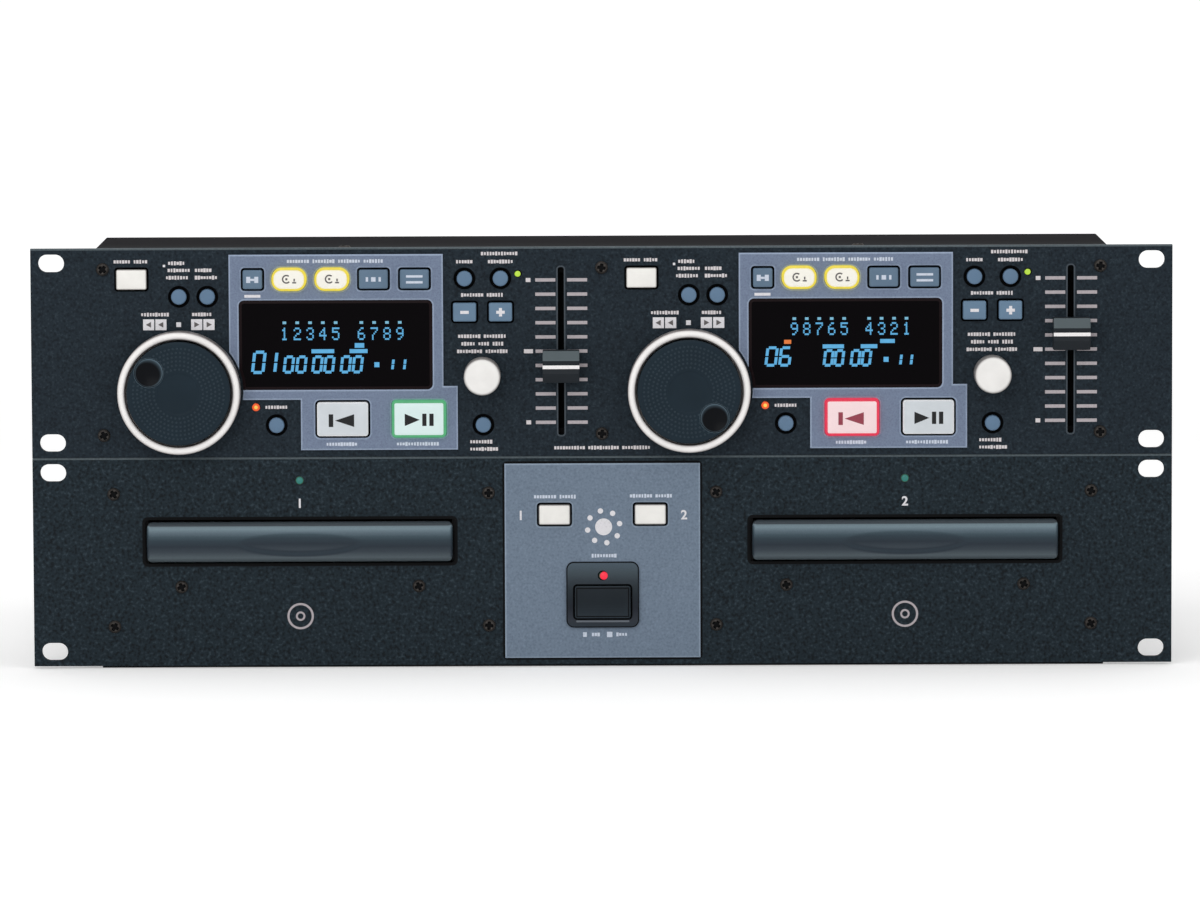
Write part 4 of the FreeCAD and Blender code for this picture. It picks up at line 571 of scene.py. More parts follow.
def rounded(wide: float, high: float, radius: float, steps: int = CORNER_STEPS) -> Outline:
    """Return a rectangle with rounded corners, anticlockwise about the origin.

    Args:
        wide: Its width in millimetres.
        high: Its height in millimetres.
        radius: The radius of its corners.
        steps: The number of edges in a corner.

    Returns:
        The outline's points.
    """
    radius = max(min(radius, wide / 2 - 1e-3, high / 2 - 1e-3), 1e-3)
    points = []
    for quarter, (side, rise) in enumerate(((1, 1), (-1, 1), (-1, -1), (1, -1))):
        for step in range(steps + 1):
            angle = math.radians(90 * (quarter + step / steps))
            points.append((side * (wide / 2 - radius) + radius * math.cos(angle),
                           rise * (high / 2 - radius) + radius * math.sin(angle)))
    return points


def ring_outline(radius: float, steps: int = ROUND_STEPS) -> Outline:
    """Return a circle about the origin, anticlockwise."""
    return [(radius * math.cos(2 * math.pi * step / steps), radius * math.sin(2 * math.pi * step / steps))
            for step in range(steps)]


def rectangle(wide: float, high: float) -> Outline:
    """Return a rectangle about the origin, anticlockwise."""
    return [(wide / 2, high / 2), (-wide / 2, high / 2), (-wide / 2, -high / 2), (wide / 2, -high / 2)]


def rolled(reach: float, front: float, edge: float, steps: int = EDGE_STEPS) -> list[Point]:
    """Return the profile of an edge that rolls over, each point as its reach and its level."""
    turns = [math.radians(90 * step / steps) for step in range(steps + 1)]
    return [(reach - edge * (1 - math.cos(turn)), front - edge * (1 - math.sin(turn))) for turn in turns]


def arc_band(radius: float, thick: float, start: float, sweep: float) -> Outline:
    """Return a band bent along an arc about the origin.

    Args:
        radius: Its outer radius in millimetres.
        thick: Its width.
        start: The angle at which it starts, in degrees.
        sweep: How far it goes round, in degrees.

    Returns:
        The outline's points.
    """
    angles = [math.radians(start + sweep * step / ARC_STEPS) for step in range(ARC_STEPS + 1)]
    outer = [(radius * math.cos(angle), radius * math.sin(angle)) for angle in angles]
    bore = radius - thick
    return outer + [(bore * math.cos(angle), bore * math.sin(angle)) for angle in reversed(angles)]


@dataclass(frozen=True)
class Unit:
    """One rack unit: where its panel's front face and bottom edge are, in metres."""

    front: float
    base: float

    @classmethod
    def of(cls, panel: str) -> "Unit":
        """Return the unit that a panel belongs to."""
        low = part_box(panel)[0]
        return cls(low.y, low.z)

    def at(self, x: float, z: float) -> Vector:
        """Return the point of the panel's face at x, z in millimetres."""
        return Vector((x * MM, self.front, self.base + z * MM))

    def behind(self, node: str) -> Vector:
        """Return the point of the panel's face behind a node's middle."""
        low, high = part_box(node)
        return Vector(((low.x + high.x) / 2, self.front, (low.z + high.z) / 2))


CONTROL = Unit.of("control_panel")
DRIVE = Unit.of("drive_panel")


class Shape:
    """A mesh under construction in the row's frame.

    Levels are given in millimetres ahead of a point on a panel's face, and outlines in
    millimetres across it, x to the right and z up.
    """

    def __init__(self) -> None:
        """Start an empty mesh."""
        self.mesh = bmesh.new()
        self.finishes: list[Finish] = []

    def slot(self, finish: Finish) -> int:
        """Return the index of a finish among the mesh's materials."""
        if finish not in self.finishes:
            self.finishes.append(finish)
        return self.finishes.index(finish)

    def loft(self, centre: Vector, levels: Sequence[Level], finish: Finish,
             looped: bool = False, smooth: bool = True) -> None:
        """Join outlines at successive levels into a closed shell.

        Args:
            centre: The point on the panel's face that outlines are about.
            levels: Each outline with its level ahead of the face, from back to front.
            finish: The shell's finish.
            looped: Join the last level to the first, as for a ring.
            smooth: Shade the sides smooth.
        """
        slot = self.slot(finish)
        loops = []
        for outline, ahead in levels:
            loop = []
            for x, z in outline:
                level = ahead(x, z) if callable(ahead) else ahead
                loop.append(self.mesh.verts.new(centre + Vector((x * MM, -level * MM, z * MM))))
            loops.append(loop)
        pairs = list(zip(loops, loops[1:]))
        if looped:
            pairs.append((loops[-1], loops[0]))
        faces = []
        for back, front in pairs:
            for index in range(len(back)):
                after = (index + 1) % len(back)
                face = self.mesh.faces.new((back[index], back[after], front[after], front[index]))
                face.smooth = smooth
                faces.append(face)
        if not looped:
            faces.append(self.mesh.faces.new(list(reversed(loops[0]))))
            faces.append(self.mesh.faces.new(loops[-1]))
        for face in faces:
            face.material_index = slot

    def prism(self, centre: Vector, outline: Outline, back: float, front: float, finish: Finish) -> None:
        """Add a straight-sided solid between two levels."""
        self.loft(centre, [(outline, back), (outline, front)], finish, smooth=False)

    def spin(self, centre: Vector, profile: Sequence[Point], finish: Finish, looped: bool = False) -> None:
        """Add a round solid from a profile of radii and levels."""
        self.loft(centre, [(ring_outline(radius), ahead) for radius, ahead in profile], finish, looped)

    def print_flat(self, place: Vector, outline: Outline, ahead: float, finish: Finish) -> None:
        """Print a thin flat shape on a surface at a level."""
        self.prism(place, outline, ahead - PRINT_ROOT, ahead + PRINT_THICK, finish)

    def print_band(self, place: Vector, outer: Outline, inner: Outline, finish: Finish) -> None:
        """Print the thin band between two outlines on the panel's face."""
        levels = [(outer, -PRINT_ROOT), (outer, PRINT_THICK), (inner, PRINT_THICK), (inner, -PRINT_ROOT)]
        self.loft(place, levels, finish, looped=True, smooth=False)

    def soft_cap(self, centre: Vector, outline_at: Callable[[float], Outline], back: float,
                 front: float, edge: float, finish: Finish, crown: float = 0.0) -> None:
        """Add a solid whose front edge is rounded over and whose face may be crowned.

        Args:
            centre: The point on the panel's face that it is about.
            outline_at: Gives its outline at an inset.
            back: The level of its back.
            front: The level of its front.
            edge: The radius of its front edge.
            finish: Its finish.
            crown: How far its face rises towards the middle.
        """
        levels = [(outline_at(0.0), back)]
        levels += [(outline_at(-reach), level) for reach, level in rolled(0.0, front - crown, edge)]
        if crown:
            levels += [(outline_at(edge + inset), front - fall * crown) for inset, fall in CROWN_STEPS]
        self.loft(centre, levels, finish)

    def build(self, name: str, body: str, slot: str, replaces: Sequence[str] = ()) -> None:
        """Turn the mesh into a piece of the object.

        Args:
            name: The piece's name.
            body: The body that it rides on.
            slot: Not used; the name of the slot that its finish belongs to.
            replaces: The nodes that it stands for.
        """
        bmesh.ops.recalc_face_normals(self.mesh, faces=self.mesh.faces)
        data = bpy.data.meshes.new(name)
        self.mesh.to_mesh(data)
        self.mesh.free()
        for finish in self.finishes:
            data.materials.append(finish.material())
        dress(name, data, body, replaces)


def dress(name: str, data: bpy.types.Mesh, body: str, replaces: Sequence[str] = ()) -> None:
    """Make a mesh a piece of the object, set what it rides on and report it.

    Args:
        name: The piece's name.
        data: Its mesh, in place.
        body: The body that it rides on.
        replaces: The nodes that it stands for.
    """
    piece = bpy.data.objects.new(name, data)
    bpy.context.scene.collection.objects.link(piece)
    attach(piece, body)
    if replaces:
        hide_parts(*replaces)
    LOG.info("%s rides on %s: %d faces", name, body, len(data.polygons))


def paint_node(node: str, *finishes: Finish) -> None:
    """Give a node of the frame its finish.

    Args:
        node: The node's name.
        *finishes: The finish of each of its material slots, or one for all.
    """
    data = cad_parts[node].data
    data.materials.clear()
    for finish in finishes:
        data.materials.append(finish.material())
    LOG.info("%s keeps its solid", node)


@dataclass(frozen=True)
class Region:
    """A box in the row's frame, in metres, whose faces take a finish."""

    low: tuple[float, float, float]
    high: tuple[float, float, float]
    finish: Finish

    def holds(self, point: Vector) -> bool:
        """Return whether a point lies in the box."""
        return all(low <= value <= high for low, value, high in zip(self.low, point, self.high))


def paint_regions(data: bpy.types.Mesh, base: Finish, regions: Sequence[Region]) -> None:
    """Give a mesh its finish, and the faces in each region a finish of their own.

    Args:
        data: The mesh.
        base: The finish of all other faces.
        regions: The regions; the first that holds a face's middle counts.
    """
    data.materials.clear()
    data.materials.append(base.material())
    for region in regions:
        data.materials.append(region.finish.material())
    for face in data.polygons:
        face.material_index = next((index + 1 for index, region in enumerate(regions)
                                    if region.holds(face.center)), 0)


def node_mesh(node: str, flat: bool = False) -> bmesh.types.BMesh:
    """Return a node's mesh with its triangles joined at their corners.

    Args:
        node: The node.
        flat: Merge the triangles of each flat face into one face.

    Returns:
        The mesh.
    """
    mesh = bmesh.new()
    mesh.from_mesh(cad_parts[node].data)
    bmesh.ops.remove_doubles(mesh, verts=mesh.verts, dist=MERGE_REACH)
    if flat:
        bmesh.ops.dissolve_limit(mesh, angle_limit=math.radians(1), verts=mesh.verts, edges=mesh.edges)
    return mesh


def closed_mesh(mesh: bmesh.types.BMesh, name: str) -> bpy.types.Mesh:
    """Cut a mesh into triangles and return it as data."""
    bmesh.ops.triangulate(mesh, faces=mesh.faces)
    data = bpy.data.meshes.new(name)
    mesh.to_mesh(data)
    mesh.free()
    return data


def cut_level(mesh: bmesh.types.BMesh, level: float) -> None:
    """Cut a mesh's faces along a level plane, in metres."""
    bmesh.ops.bisect_plane(mesh, geom=mesh.verts[:] + mesh.edges[:] + mesh.faces[:], dist=CUT_REACH,
                           plane_co=(0, 0, level), plane_no=(0, 0, 1))


def faced_copy(node: str, name: str, finishes: tuple[Finish, Finish], chamfer: Point, body: str,
               bands: int = 0, fall: Callable[[float], float] | None = None) -> None:
    """Copy a node with a chamfer round its front face, and bend that face if asked.

    Args:
        node: The node to copy.
        name: The new piece's name.
        finishes: The piece's finish and that of its chamfer.
        chamfer: The chamfer's width in millimetres and how far it falls back.
        body: The body that it rides on.
        bands: The number of bands that a bent face is cut into, upwards.
        fall: Gives how far the face falls back at a share of its height.
    """
    edge, drop = chamfer
    mesh = node_mesh(node, flat=True)
    low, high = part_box(node)
    for face in mesh.faces:
        face.material_index = 0
    front = {face for face in mesh.faces
             if face.normal.y < -0.9 and face.calc_center_median().y < low.y + FACE_REACH * MM}
    ring = bmesh.ops.inset_region(mesh, faces=list(front), thickness=edge * MM, depth=0.0,
                                  use_even_offset=True, use_boundary=True)["faces"]
    face_side = front.union(ring)
    for vert in {vert for face in ring for vert in face.verts}:
        if any(face not in face_side for face in vert.link_faces):
            vert.co.y += drop * MM
    # The chamfer ring takes the second finish: a painted highlight on the plates, painted shadow round the bezel
    # and the button, and the glass's edge colour on the display windows.
    for face in ring:
        face.material_index = 1
    for band in range(1, bands):
        cut_level(mesh, low.z + (high.z - low.z) * band / bands)
    for vert in mesh.verts:
        if fall and vert.co.y < low.y + FACE_REACH * MM:
            vert.co.y += fall((vert.co.z - low.z) / (high.z - low.z)) * MM
    data = closed_mesh(mesh, name)
    for finish in finishes:
        data.materials.append(finish.material())
    dress(name, data, body, (node,))


def softened_copy(node: str, name: str, edge: float, base: Finish, regions: Sequence[Region], body: str) -> None:
    """Copy a node with its sharp edges rounded over and with finishes of their own in some regions.

    Args:
        node: The node to copy.
        name: The new piece's name.
        edge: The width of the rounding in millimetres.
        base: The finish of all other faces.
        regions: The regions; the first that holds a face's middle counts.
        body: The body that it rides on.
    """
    mesh = node_mesh(node, flat=True)
    sharp = [line for line in mesh.edges
             if len(line.link_faces) == 2 and line.calc_face_angle(0.0) > math.radians(SHARP_ANGLE)]
    bmesh.ops.bevel(mesh, geom=sharp, offset=edge * MM, segments=2, profile=0.6, affect="EDGES",
                    clamp_overlap=True)
    data = closed_mesh(mesh, name)
    paint_regions(data, base, regions)
    dress(name, data, body, (node,))


def printed_numeral(name: str, text: str, place: Vector) -> None:
    """Print a plain numeral on the front.

    Args:
        name: The piece's name.
        text: The numeral.
        place: The point at its middle.
    """
    curve = bpy.data.curves.new(name, "FONT")
    curve.body = text
    curve.size = NUMERAL_SIZE * MM
    curve.align_x, curve.align_y = "CENTER", "CENTER"
    curve.extrude = PRINT_THICK * MM
    curve.offset = NUMERAL_SWELL * MM
    carrier = bpy.data.objects.new(f"{name}_curve", curve)
    bpy.context.scene.collection.objects.link(carrier)
    data = bpy.data.meshes.new_from_object(carrier.evaluated_get(bpy.context.evaluated_depsgraph_get()))
    bpy.data.objects.remove(carrier)
    mesh = bmesh.new()
    mesh.from_mesh(data)
    bmesh.ops.remove_doubles(mesh, verts=mesh.verts, dist=CUT_REACH)
    bmesh.ops.transform(mesh, verts=mesh.verts,
                        matrix=Matrix.Translation(place) @ Matrix.Rotation(math.radians(90), 4, "X"))
    mesh.to_mesh(data)
    mesh.free()
    data.name = name
    data.materials.clear()
    data.materials.append(WHITE_INK.material())
    dress(name, data, CHASSIS)


# --- repeated pieces, made by geometry nodes -----------------------------------------


class RepeatTree(NodeWriter):
    """A geometry node tree that sets one small shape at many points."""

    def __init__(self, name: str) -> None:
        """Start a tree with its output.

        Args:
            name: The tree's name.
        """
        self.tree = bpy.data.node_groups.new(name, "GeometryNodeTree")
        self.tree.interface.new_socket("Geometry", in_out="OUTPUT", socket_type="NodeSocketGeometry")
        self.inputs = self.tree.nodes.new("NodeGroupInput")
        self.result = self.tree.nodes.new("NodeGroupOutput")
        self.values: dict[str, object] = {}
        self.points = self.take("Geometry", "NodeSocketGeometry", None)

    def take(self, name: str, kind: str, value: object) -> bpy.types.NodeSocket:
        """Add a named input.

        Args:
            name: The input's name.
            kind: The type of its socket.
            value: What the modifier sets it to, if that is known.

        Returns:
            The socket to read it from.
        """
        self.tree.interface.new_socket(name, in_out="INPUT", socket_type=kind)
        if value is not None:
            self.values[name] = value
        return self.inputs.outputs[name]

    def finish(self, shape: bpy.types.NodeSocket, **placing: bpy.types.NodeSocket) -> None:
        """End the tree: set the shape at each point, make it real and give it its material.

        Args:
            shape: The shape that is repeated.
            **placing: What else steers the instances, by the name of its socket.
        """
        placed = self.add("GeometryNodeInstanceOnPoints")
        self.link(self.points, placed.inputs["Points"])
        self.link(shape, placed.inputs["Instance"])
        for socket, source in placing.items():
            self.link(source, placed.inputs[socket])
        real = self.add("GeometryNodeRealizeInstances")
        paint = self.add("GeometryNodeSetMaterial")
        self.link(placed.outputs["Instances"], real.inputs["Geometry"])
        self.link(real.outputs["Geometry"], paint.inputs["Geometry"])
        self.link(self.take("Material", "NodeSocketMaterial", None), paint.inputs["Material"])
        self.link(paint.outputs["Geometry"], self.result.inputs[0])

    def run(self, name: str, points: Sequence[Vector], finish: Finish) -> bpy.types.Mesh:
        """Evaluate the tree on loose points and return the result as a plain mesh.

        Args:
            name: The name of the result.
            points: The points that the tree reads.
            finish: The material it sets.

        Returns:
            The mesh, free of the modifier that made it.
        """
        self.values["Material"] = finish.material()
        data = bpy.data.meshes.new(name)
        data.from_pydata([tuple(point) for point in points], [], [])
        carrier = bpy.data.objects.new(f"{name}_points", data)
        bpy.context.scene.collection.objects.link(carrier)
        modifier = carrier.modifiers.new("repeat", "NODES")
        modifier.node_group = self.tree
        for item in self.tree.interface.items_tree:
            if item.in_out == "INPUT" and item.name in self.values:
                modifier[item.identifier] = self.values[item.name]
        graph = bpy.context.evaluated_depsgraph_get()
        data = bpy.data.meshes.new_from_object(carrier.evaluated_get(graph))
        data.name = name
        bpy.data.objects.remove(carrier)
        return data


def small_boxes(name: str, points: Sequence[Vector], size: tuple[float, float, float], finish: Finish,
                body: str, uneven: float = 0.0) -> None:
    """Set a small box at each point and make them one piece.

    Args:
        name: The piece's name.
        points: The boxes' middles.
        size: A box's width, depth and height in millimetres.
        finish: The boxes' finish.
        body: The body that they ride on.
        uneven: How much narrower and lower a box may be by chance, as a share.
    """
    tree = RepeatTree(f"{name}_tree")
    sides = tree.add("ShaderNodeCombineXYZ")
    for axis, label, value in zip("XYZ", ("Width", "Depth", "Height"), size):
        tree.link(tree.take(label, "NodeSocketFloat", value * MM), sides.inputs[axis])
    box = tree.add("GeometryNodeMeshCube")
    tree.link(sides.outputs["Vector"], box.inputs["Size"])
    chance = tree.add("FunctionNodeRandomValue", data_type="FLOAT_VECTOR")
    chance.inputs[0].default_value = (1.0 - uneven, 1.0, 1.0 - uneven)
    chance.inputs[1].default_value = (1.0, 1.0, 1.0)
    tree.link(tree.take("Seed", "NodeSocketInt", BOX_SEED), chance.inputs["Seed"])
    tree.finish(box.outputs["Mesh"], Scale=chance.outputs[0])
    dress(name, tree.run(name, points, finish), body)


def small_dots(name: str, points: Sequence[Vector], radius: float, thick: float, finish: Finish,
               body: str) -> None:
    """Set a small upright disc, facing forward, at each point and make them one piece.

    Args:
        name: The piece's name.
        points: The discs' middles.
        radius: A disc's radius in millimetres.
        thick: Its thickness.
        finish: The discs' finish.
        body: The body that they ride on.
    """
    tree = RepeatTree(f"{name}_tree")
    dot = tree.add("GeometryNodeMeshCylinder")
    dot.inputs["Vertices"].default_value = DOT_STEPS
    tree.link(tree.take("Radius", "NodeSocketFloat", radius * MM), dot.inputs["Radius"])
    tree.link(tree.take("Thickness", "NodeSocketFloat", thick * MM), dot.inputs["Depth"])
    turned = tree.add("GeometryNodeTransform")
    turned.inputs["Rotation"].default_value = (math.pi / 2, 0.0, 0.0)
    tree.link(dot.outputs["Mesh"], turned.inputs["Geometry"])
    tree.finish(turned.outputs["Geometry"])
    dress(name, tree.run(name, points, finish), body)


# --- keys ----------------------------------------------------------------------------


class Mark(Enum):
    """The symbol printed on a key's cap."""

    NONE = "none"
    MINUS = "minus"
    PLUS = "plus"
    PLAY = "play"
    RETURN = "return"
    BARS = "bars"
    PAIR = "pair"
    LOOP = "loop"
    DOTS = "dots"


@dataclass(frozen=True)
class KeyCap:
    """A key: its cap with a rounded edge, the flange that stops it, its stem and its mark."""

    node: str
    finish: Finish
    corner: float = 0.8
    mark: Mark = Mark.NONE
    ink: Finish = BLACK_INK
    rim: Finish | None = None
    unit: Unit = CONTROL
    slot: str = "white_key"
    flange: float = 1.65
    flange_front: float = -3.15
    flange_thick: float = 1.0
    stem: float = 3.0
    edge: float = 0.7
    crown: float = 0.15
    rim_back: float = -2.6
    rim_wide: float = 0.7
    rim_in: float = 0.5
    rim_side: float = 1.1
    rim_shoulder: Point = (0.2, 0.6)
    rim_brow: float = 0.25
    rim_top: Point = (0.7, 0.06)
    rim_foot: float = 0.3
    shrink: float = 0.0
    cap_root: float = 0.2
    stem_root: float = 0.5
    mark_root: float = 0.4
    mark_drop: float = 0.0

    def outline(self, inset: float) -> Outline:
        """Return the cap's outline at an inset in millimetres."""
        low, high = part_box(self.node)
        around = 2 * (self.flange + self.shrink + inset)
        wide = (high.x - low.x) / MM - around
        tall = (high.z - low.z) / MM - around
        return rounded(wide, tall, max(self.corner - inset, 0.15))

    def build(self) -> None:
        """Build the key in place of its node."""
        low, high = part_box(self.node)
        centre = self.unit.behind(self.node)
        front = (self.unit.front - low.y) / MM
        back = (self.unit.front - high.y) / MM
        shape = Shape()
        shape.soft_cap(centre, self.outline, self.flange_front - self.cap_root, front, self.edge,
                       self.finish, self.crown)
        # The flange and stem are deep black, so that the gap round the cap shows painted shadow.
        flange = rectangle((high.x - low.x) / MM, (high.z - low.z) / MM)
        shape.prism(centre, flange, self.flange_front - self.flange_thick, self.flange_front, BLACK_PLASTIC_AND_PAINTED_SHADOW)
        shape.prism(centre, rectangle(self.stem, self.stem), back, self.flange_front - self.stem_root,
                    BLACK_PLASTIC_AND_PAINTED_SHADOW)
        if self.rim:
            bead = [(self.rim_in, self.rim_back), (-self.rim_wide, self.rim_back),
                    (-self.rim_wide, front - self.rim_side),
                    (self.rim_shoulder[0] - self.rim_wide, front - self.rim_shoulder[1]),
                    (0.0, front - self.rim_brow), (self.rim_in * self.rim_top[0], front - self.rim_top[1]),
                    (self.rim_in, front - self.rim_foot)]
            shape.loft(centre, [(self.outline(inset), ahead) for inset, ahead in bead], self.rim, looped=True)
        for outline, x, z in mark_outlines(self.mark):
            spot = centre + Vector((x * MM, 0, (z - self.mark_drop) * MM))
            shape.prism(spot, outline, front - self.mark_root, front + PRINT_THICK, self.ink)
        shape.build(f"{self.node}_cap", self.node, self.slot, (self.node,))


PLUS_SIGN = [(0.65, 1.8), (-0.65, 1.8), (-0.65, 0.65), (-1.8, 0.65), (-1.8, -0.65), (-0.65, -0.65),
             (-0.65, -1.8), (0.65, -1.8), (0.65, -0.65), (1.8, -0.65), (1.8, 0.65), (0.65, 0.65)]


def mark_outlines(mark: Mark) -> list[tuple[Outline, float, float]]:
    """Return the outlines of a key's mark, each with its offset from the cap's middle.

    Args:
        mark: The mark.

    Returns:
        The outlines with their offsets in millimetres.
    """
    return {
        Mark.MINUS: [(rectangle(3.6, 1.3), 0, 0)],
        Mark.PLUS: [(PLUS_SIGN, 0, 0)],
        Mark.PLAY: [([(-6.0, 2.6), (-6.0, -2.6), (0.3, 0)], 0, 0), (rectangle(1.8, 5.2), 2.3, 0),
                    (rectangle(1.8, 5.2), 5.3, 0)],
        Mark.RETURN: [(rectangle(1.9, 5.4), -4.9, 0), ([(4.9, 2.7), (-3.2, 0), (4.9, -2.7)], 0, 0)],
        Mark.BARS: [(rectangle(7.0, 1.0), 0, 1.2), (rectangle(7.0, 1.0), 0, -1.3)],
        Mark.PAIR: [(rectangle(1.7, 2.6), x, 0) for x in (-1.7, 1.7)] + [(rectangle(1.8, 0.9), 0, 0)],
        Mark.DOTS: [(rectangle(1.9, 1.9), 0, 0)] + [(rectangle(1.0, 1.9), x, 0) for x in (-2.7, 2.7)],
        Mark.LOOP: [(arc_band(1.9, 0.6, 50, 270), -1.0, 0.2), (rectangle(0.9, 0.9), -1.0, 0.2),
                    (rectangle(1.7, 0.6), 2.3, -1.3), (rectangle(0.6, 1.2), 2.3, -0.2)],
    }.get(mark, [])


# --- wheel, knob and slider ------------------------------------------------------------


@dataclass(frozen=True)
class JogWheel:
    """A sprung ring and the dark disc that spins inside it."""

    number: int
    dimple_angle: float
    ring_r: float = 25.95
    ring_bore: float = 12.05
    ring_wall: float = 3.15
    ring_back: float = 0.6
    ring_web: float = 2.1
    ring_front: float = 10.8
    ring_roll: float = 1.3
    ring_turns: range = range(12, 169, 12)
    disc_r: float = 21.9
    disc_back: float = 2.7
    disc_front: float = 12.0
    disc_wall: float = 1.8
    disc_edge: float = 0.7
    boss_r: float = 6.0
    bore_r: float = 3.05
    bore_end: float = 9.3
    dimple_r: float = 6.0
    dimple_deep: float = 1.2
    dimple_curve: float = 0.7
    dimple_reach: float = 15.3
    liner_root: float = 0.3
    liner_rim: tuple[Point, ...] = ((0.35, -0.4), (0.35, 0.05), (0.1, 0.1))
    liner_lift: float = 0.05
    liner_share: float = 0.97
    middle_r: float = 9.0
    middle_step: float = 0.25
    middle_slope: float = 0.5
    dot_pitch: float = 1.75
    dot_r: float = 0.5
    dot_thick: float = 0.16
    dots_start: float = 0.8
    dots_rim: float = 1.4
    dots_clear: float = 0.5
    hole_r: float = 0.05
    grid_step: float = 0.3
    face_steps: int = 240

    def centre(self) -> Vector:
        """Return the point of the panel's face behind the wheel's middle."""
        return CONTROL.behind(f"shuttle_ring_{self.number}")

    def dimple(self) -> Point:
        """Return the dimple's place from the wheel's middle."""
        angle = math.radians(self.dimple_angle)
        return self.dimple_reach * math.cos(angle), self.dimple_reach * math.sin(angle)

    def fall(self, x: float, z: float) -> float:
        """Return how far the disc's face falls at a point: its dimple and its flat middle."""
        middle_x, middle_z = self.dimple()
        share = min(math.hypot(x - middle_x, z - middle_z) / self.dimple_r, 1.0)
        bowl = self.bowl(share) if share < 1 else 0.0
        inside = self.middle_r - math.hypot(x, z)
        return max(bowl, self.middle_step * min(max(inside / self.middle_slope, 0.0), 1.0))

    def bowl(self, share: float) -> float:
        """Return the dimple's depth at a share of its radius."""
        return self.dimple_deep * math.cos(share * math.pi / 2) ** self.dimple_curve

    def build_ring(self) -> None:
        """Build the sprung ring: a wall with a rolled lip on its web."""
        inner = self.ring_r - self.ring_wall
        lip = self.ring_wall / 2
        side = self.ring_front - self.ring_roll
        profile = [(self.ring_bore, self.ring_web), (self.ring_bore, self.ring_back),
                   (self.ring_r, self.ring_back), (self.ring_r, side)]
        profile += [(inner + lip + lip * math.cos(math.radians(angle)),
                     side + self.ring_roll * math.sin(math.radians(angle)))
                    for angle in self.ring_turns]
        profile += [(inner, side), (inner, self.ring_web)]
        shape = Shape()
        # The ring's finish paints shade on the sides of its rolled lip.
        shape.spin(self.centre(), profile, RING_WHITE_PAINTED_EDGE_SHADE, looped=True)
        name = f"shuttle_ring_{self.number}"
        shape.build(f"{name}_moulding", name, "white_ring", (name,))

    def build_disc(self) -> None:
        """Build the disc: a hollow cap on a boss, with its face's dimple."""
        shape = Shape()
        rim = self.disc_r - self.disc_wall
        roof = self.disc_front - self.disc_wall
        profile = [(self.hole_r, self.bore_end), (self.bore_r, self.bore_end), (self.bore_r, self.disc_back),
                   (self.boss_r, self.disc_back), (self.boss_r, roof), (rim, roof), (rim, self.disc_back),
                   (self.disc_r, self.disc_back)]
        profile += rolled(self.disc_r, self.disc_front, self.disc_edge)
        sides = [(ring_outline(radius, self.face_steps), ahead) for radius, ahead in profile]
        shape.loft(self.centre(), sides + self.face_levels(), DISC_DARK)
        name = f"jog_disc_{self.number}"
        shape.build(f"{name}_moulding", name, "dark_disc", (name,))

    def face_levels(self) -> list[Level]:
        """Return the rings of the disc's face, from its edge to its middle."""
        radius = self.disc_r - self.disc_edge - self.grid_step
        levels = []
        while radius > 0:
            outline = ring_outline(radius, self.face_steps)
            levels.append((outline, lambda x, z: self.disc_front - self.fall(x, z)))
            radius -= self.grid_step
        return levels

    def build_dimple(self) -> None:
        """Line the dimple with a glossy bowl that has a narrow raised rim, dark in its middle with a painted
        highlight on its slopes.
        """
        reach, front = self.dimple_r, self.disc_front
        root = front - self.dimple_deep - self.liner_root
        profile = [(self.hole_r, root), (0.5 * reach, root)]
        profile += [(reach + out, front + ahead) for out, ahead in self.liner_rim]
        for step in range(ARC_STEPS):
            share = (1 - step / ARC_STEPS) * self.liner_share
            profile.append((max(reach * share, self.hole_r), front + self.liner_lift - self.bowl(share)))
        across, up = self.dimple()
        shape = Shape()
        shape.spin(self.centre() + Vector((across * MM, 0, up * MM)), profile, DIMPLE_PAINTED_SHEEN)
        name = f"jog_disc_{self.number}"
        shape.build(f"{name}_dimple", name, "dark_disc")

    def build_dots(self) -> None:
        """Set rings of small dots on the disc's face, clear of its dimple."""
        dimple_x, dimple_z = self.dimple()
        points = []
        ring = 0
        radius = self.middle_r + self.dot_pitch * self.dots_start
        while radius < self.disc_r - self.dots_rim:
            count = round(2 * math.pi * radius / self.dot_pitch)
            for index in range(count):
                angle = 2 * math.pi * (index + ring % 2 / 2) / count
                x, z = radius * math.cos(angle), radius * math.sin(angle)
                if math.hypot(x - dimple_x, z - dimple_z) > self.dimple_r + self.dots_clear:
                    points.append(self.centre() + Vector((x * MM, -self.disc_front * MM, z * MM)))
            radius += self.dot_pitch
            ring += 1
        name = f"jog_disc_{self.number}"
        small_dots(f"{name}_dots", points, self.dot_r, self.dot_thick, DOT_DARK, name)

    def build(self) -> None:
        """Build the wheel."""
        self.build_ring()
        self.build_disc()
        self.build_dimple()
        self.build_dots()


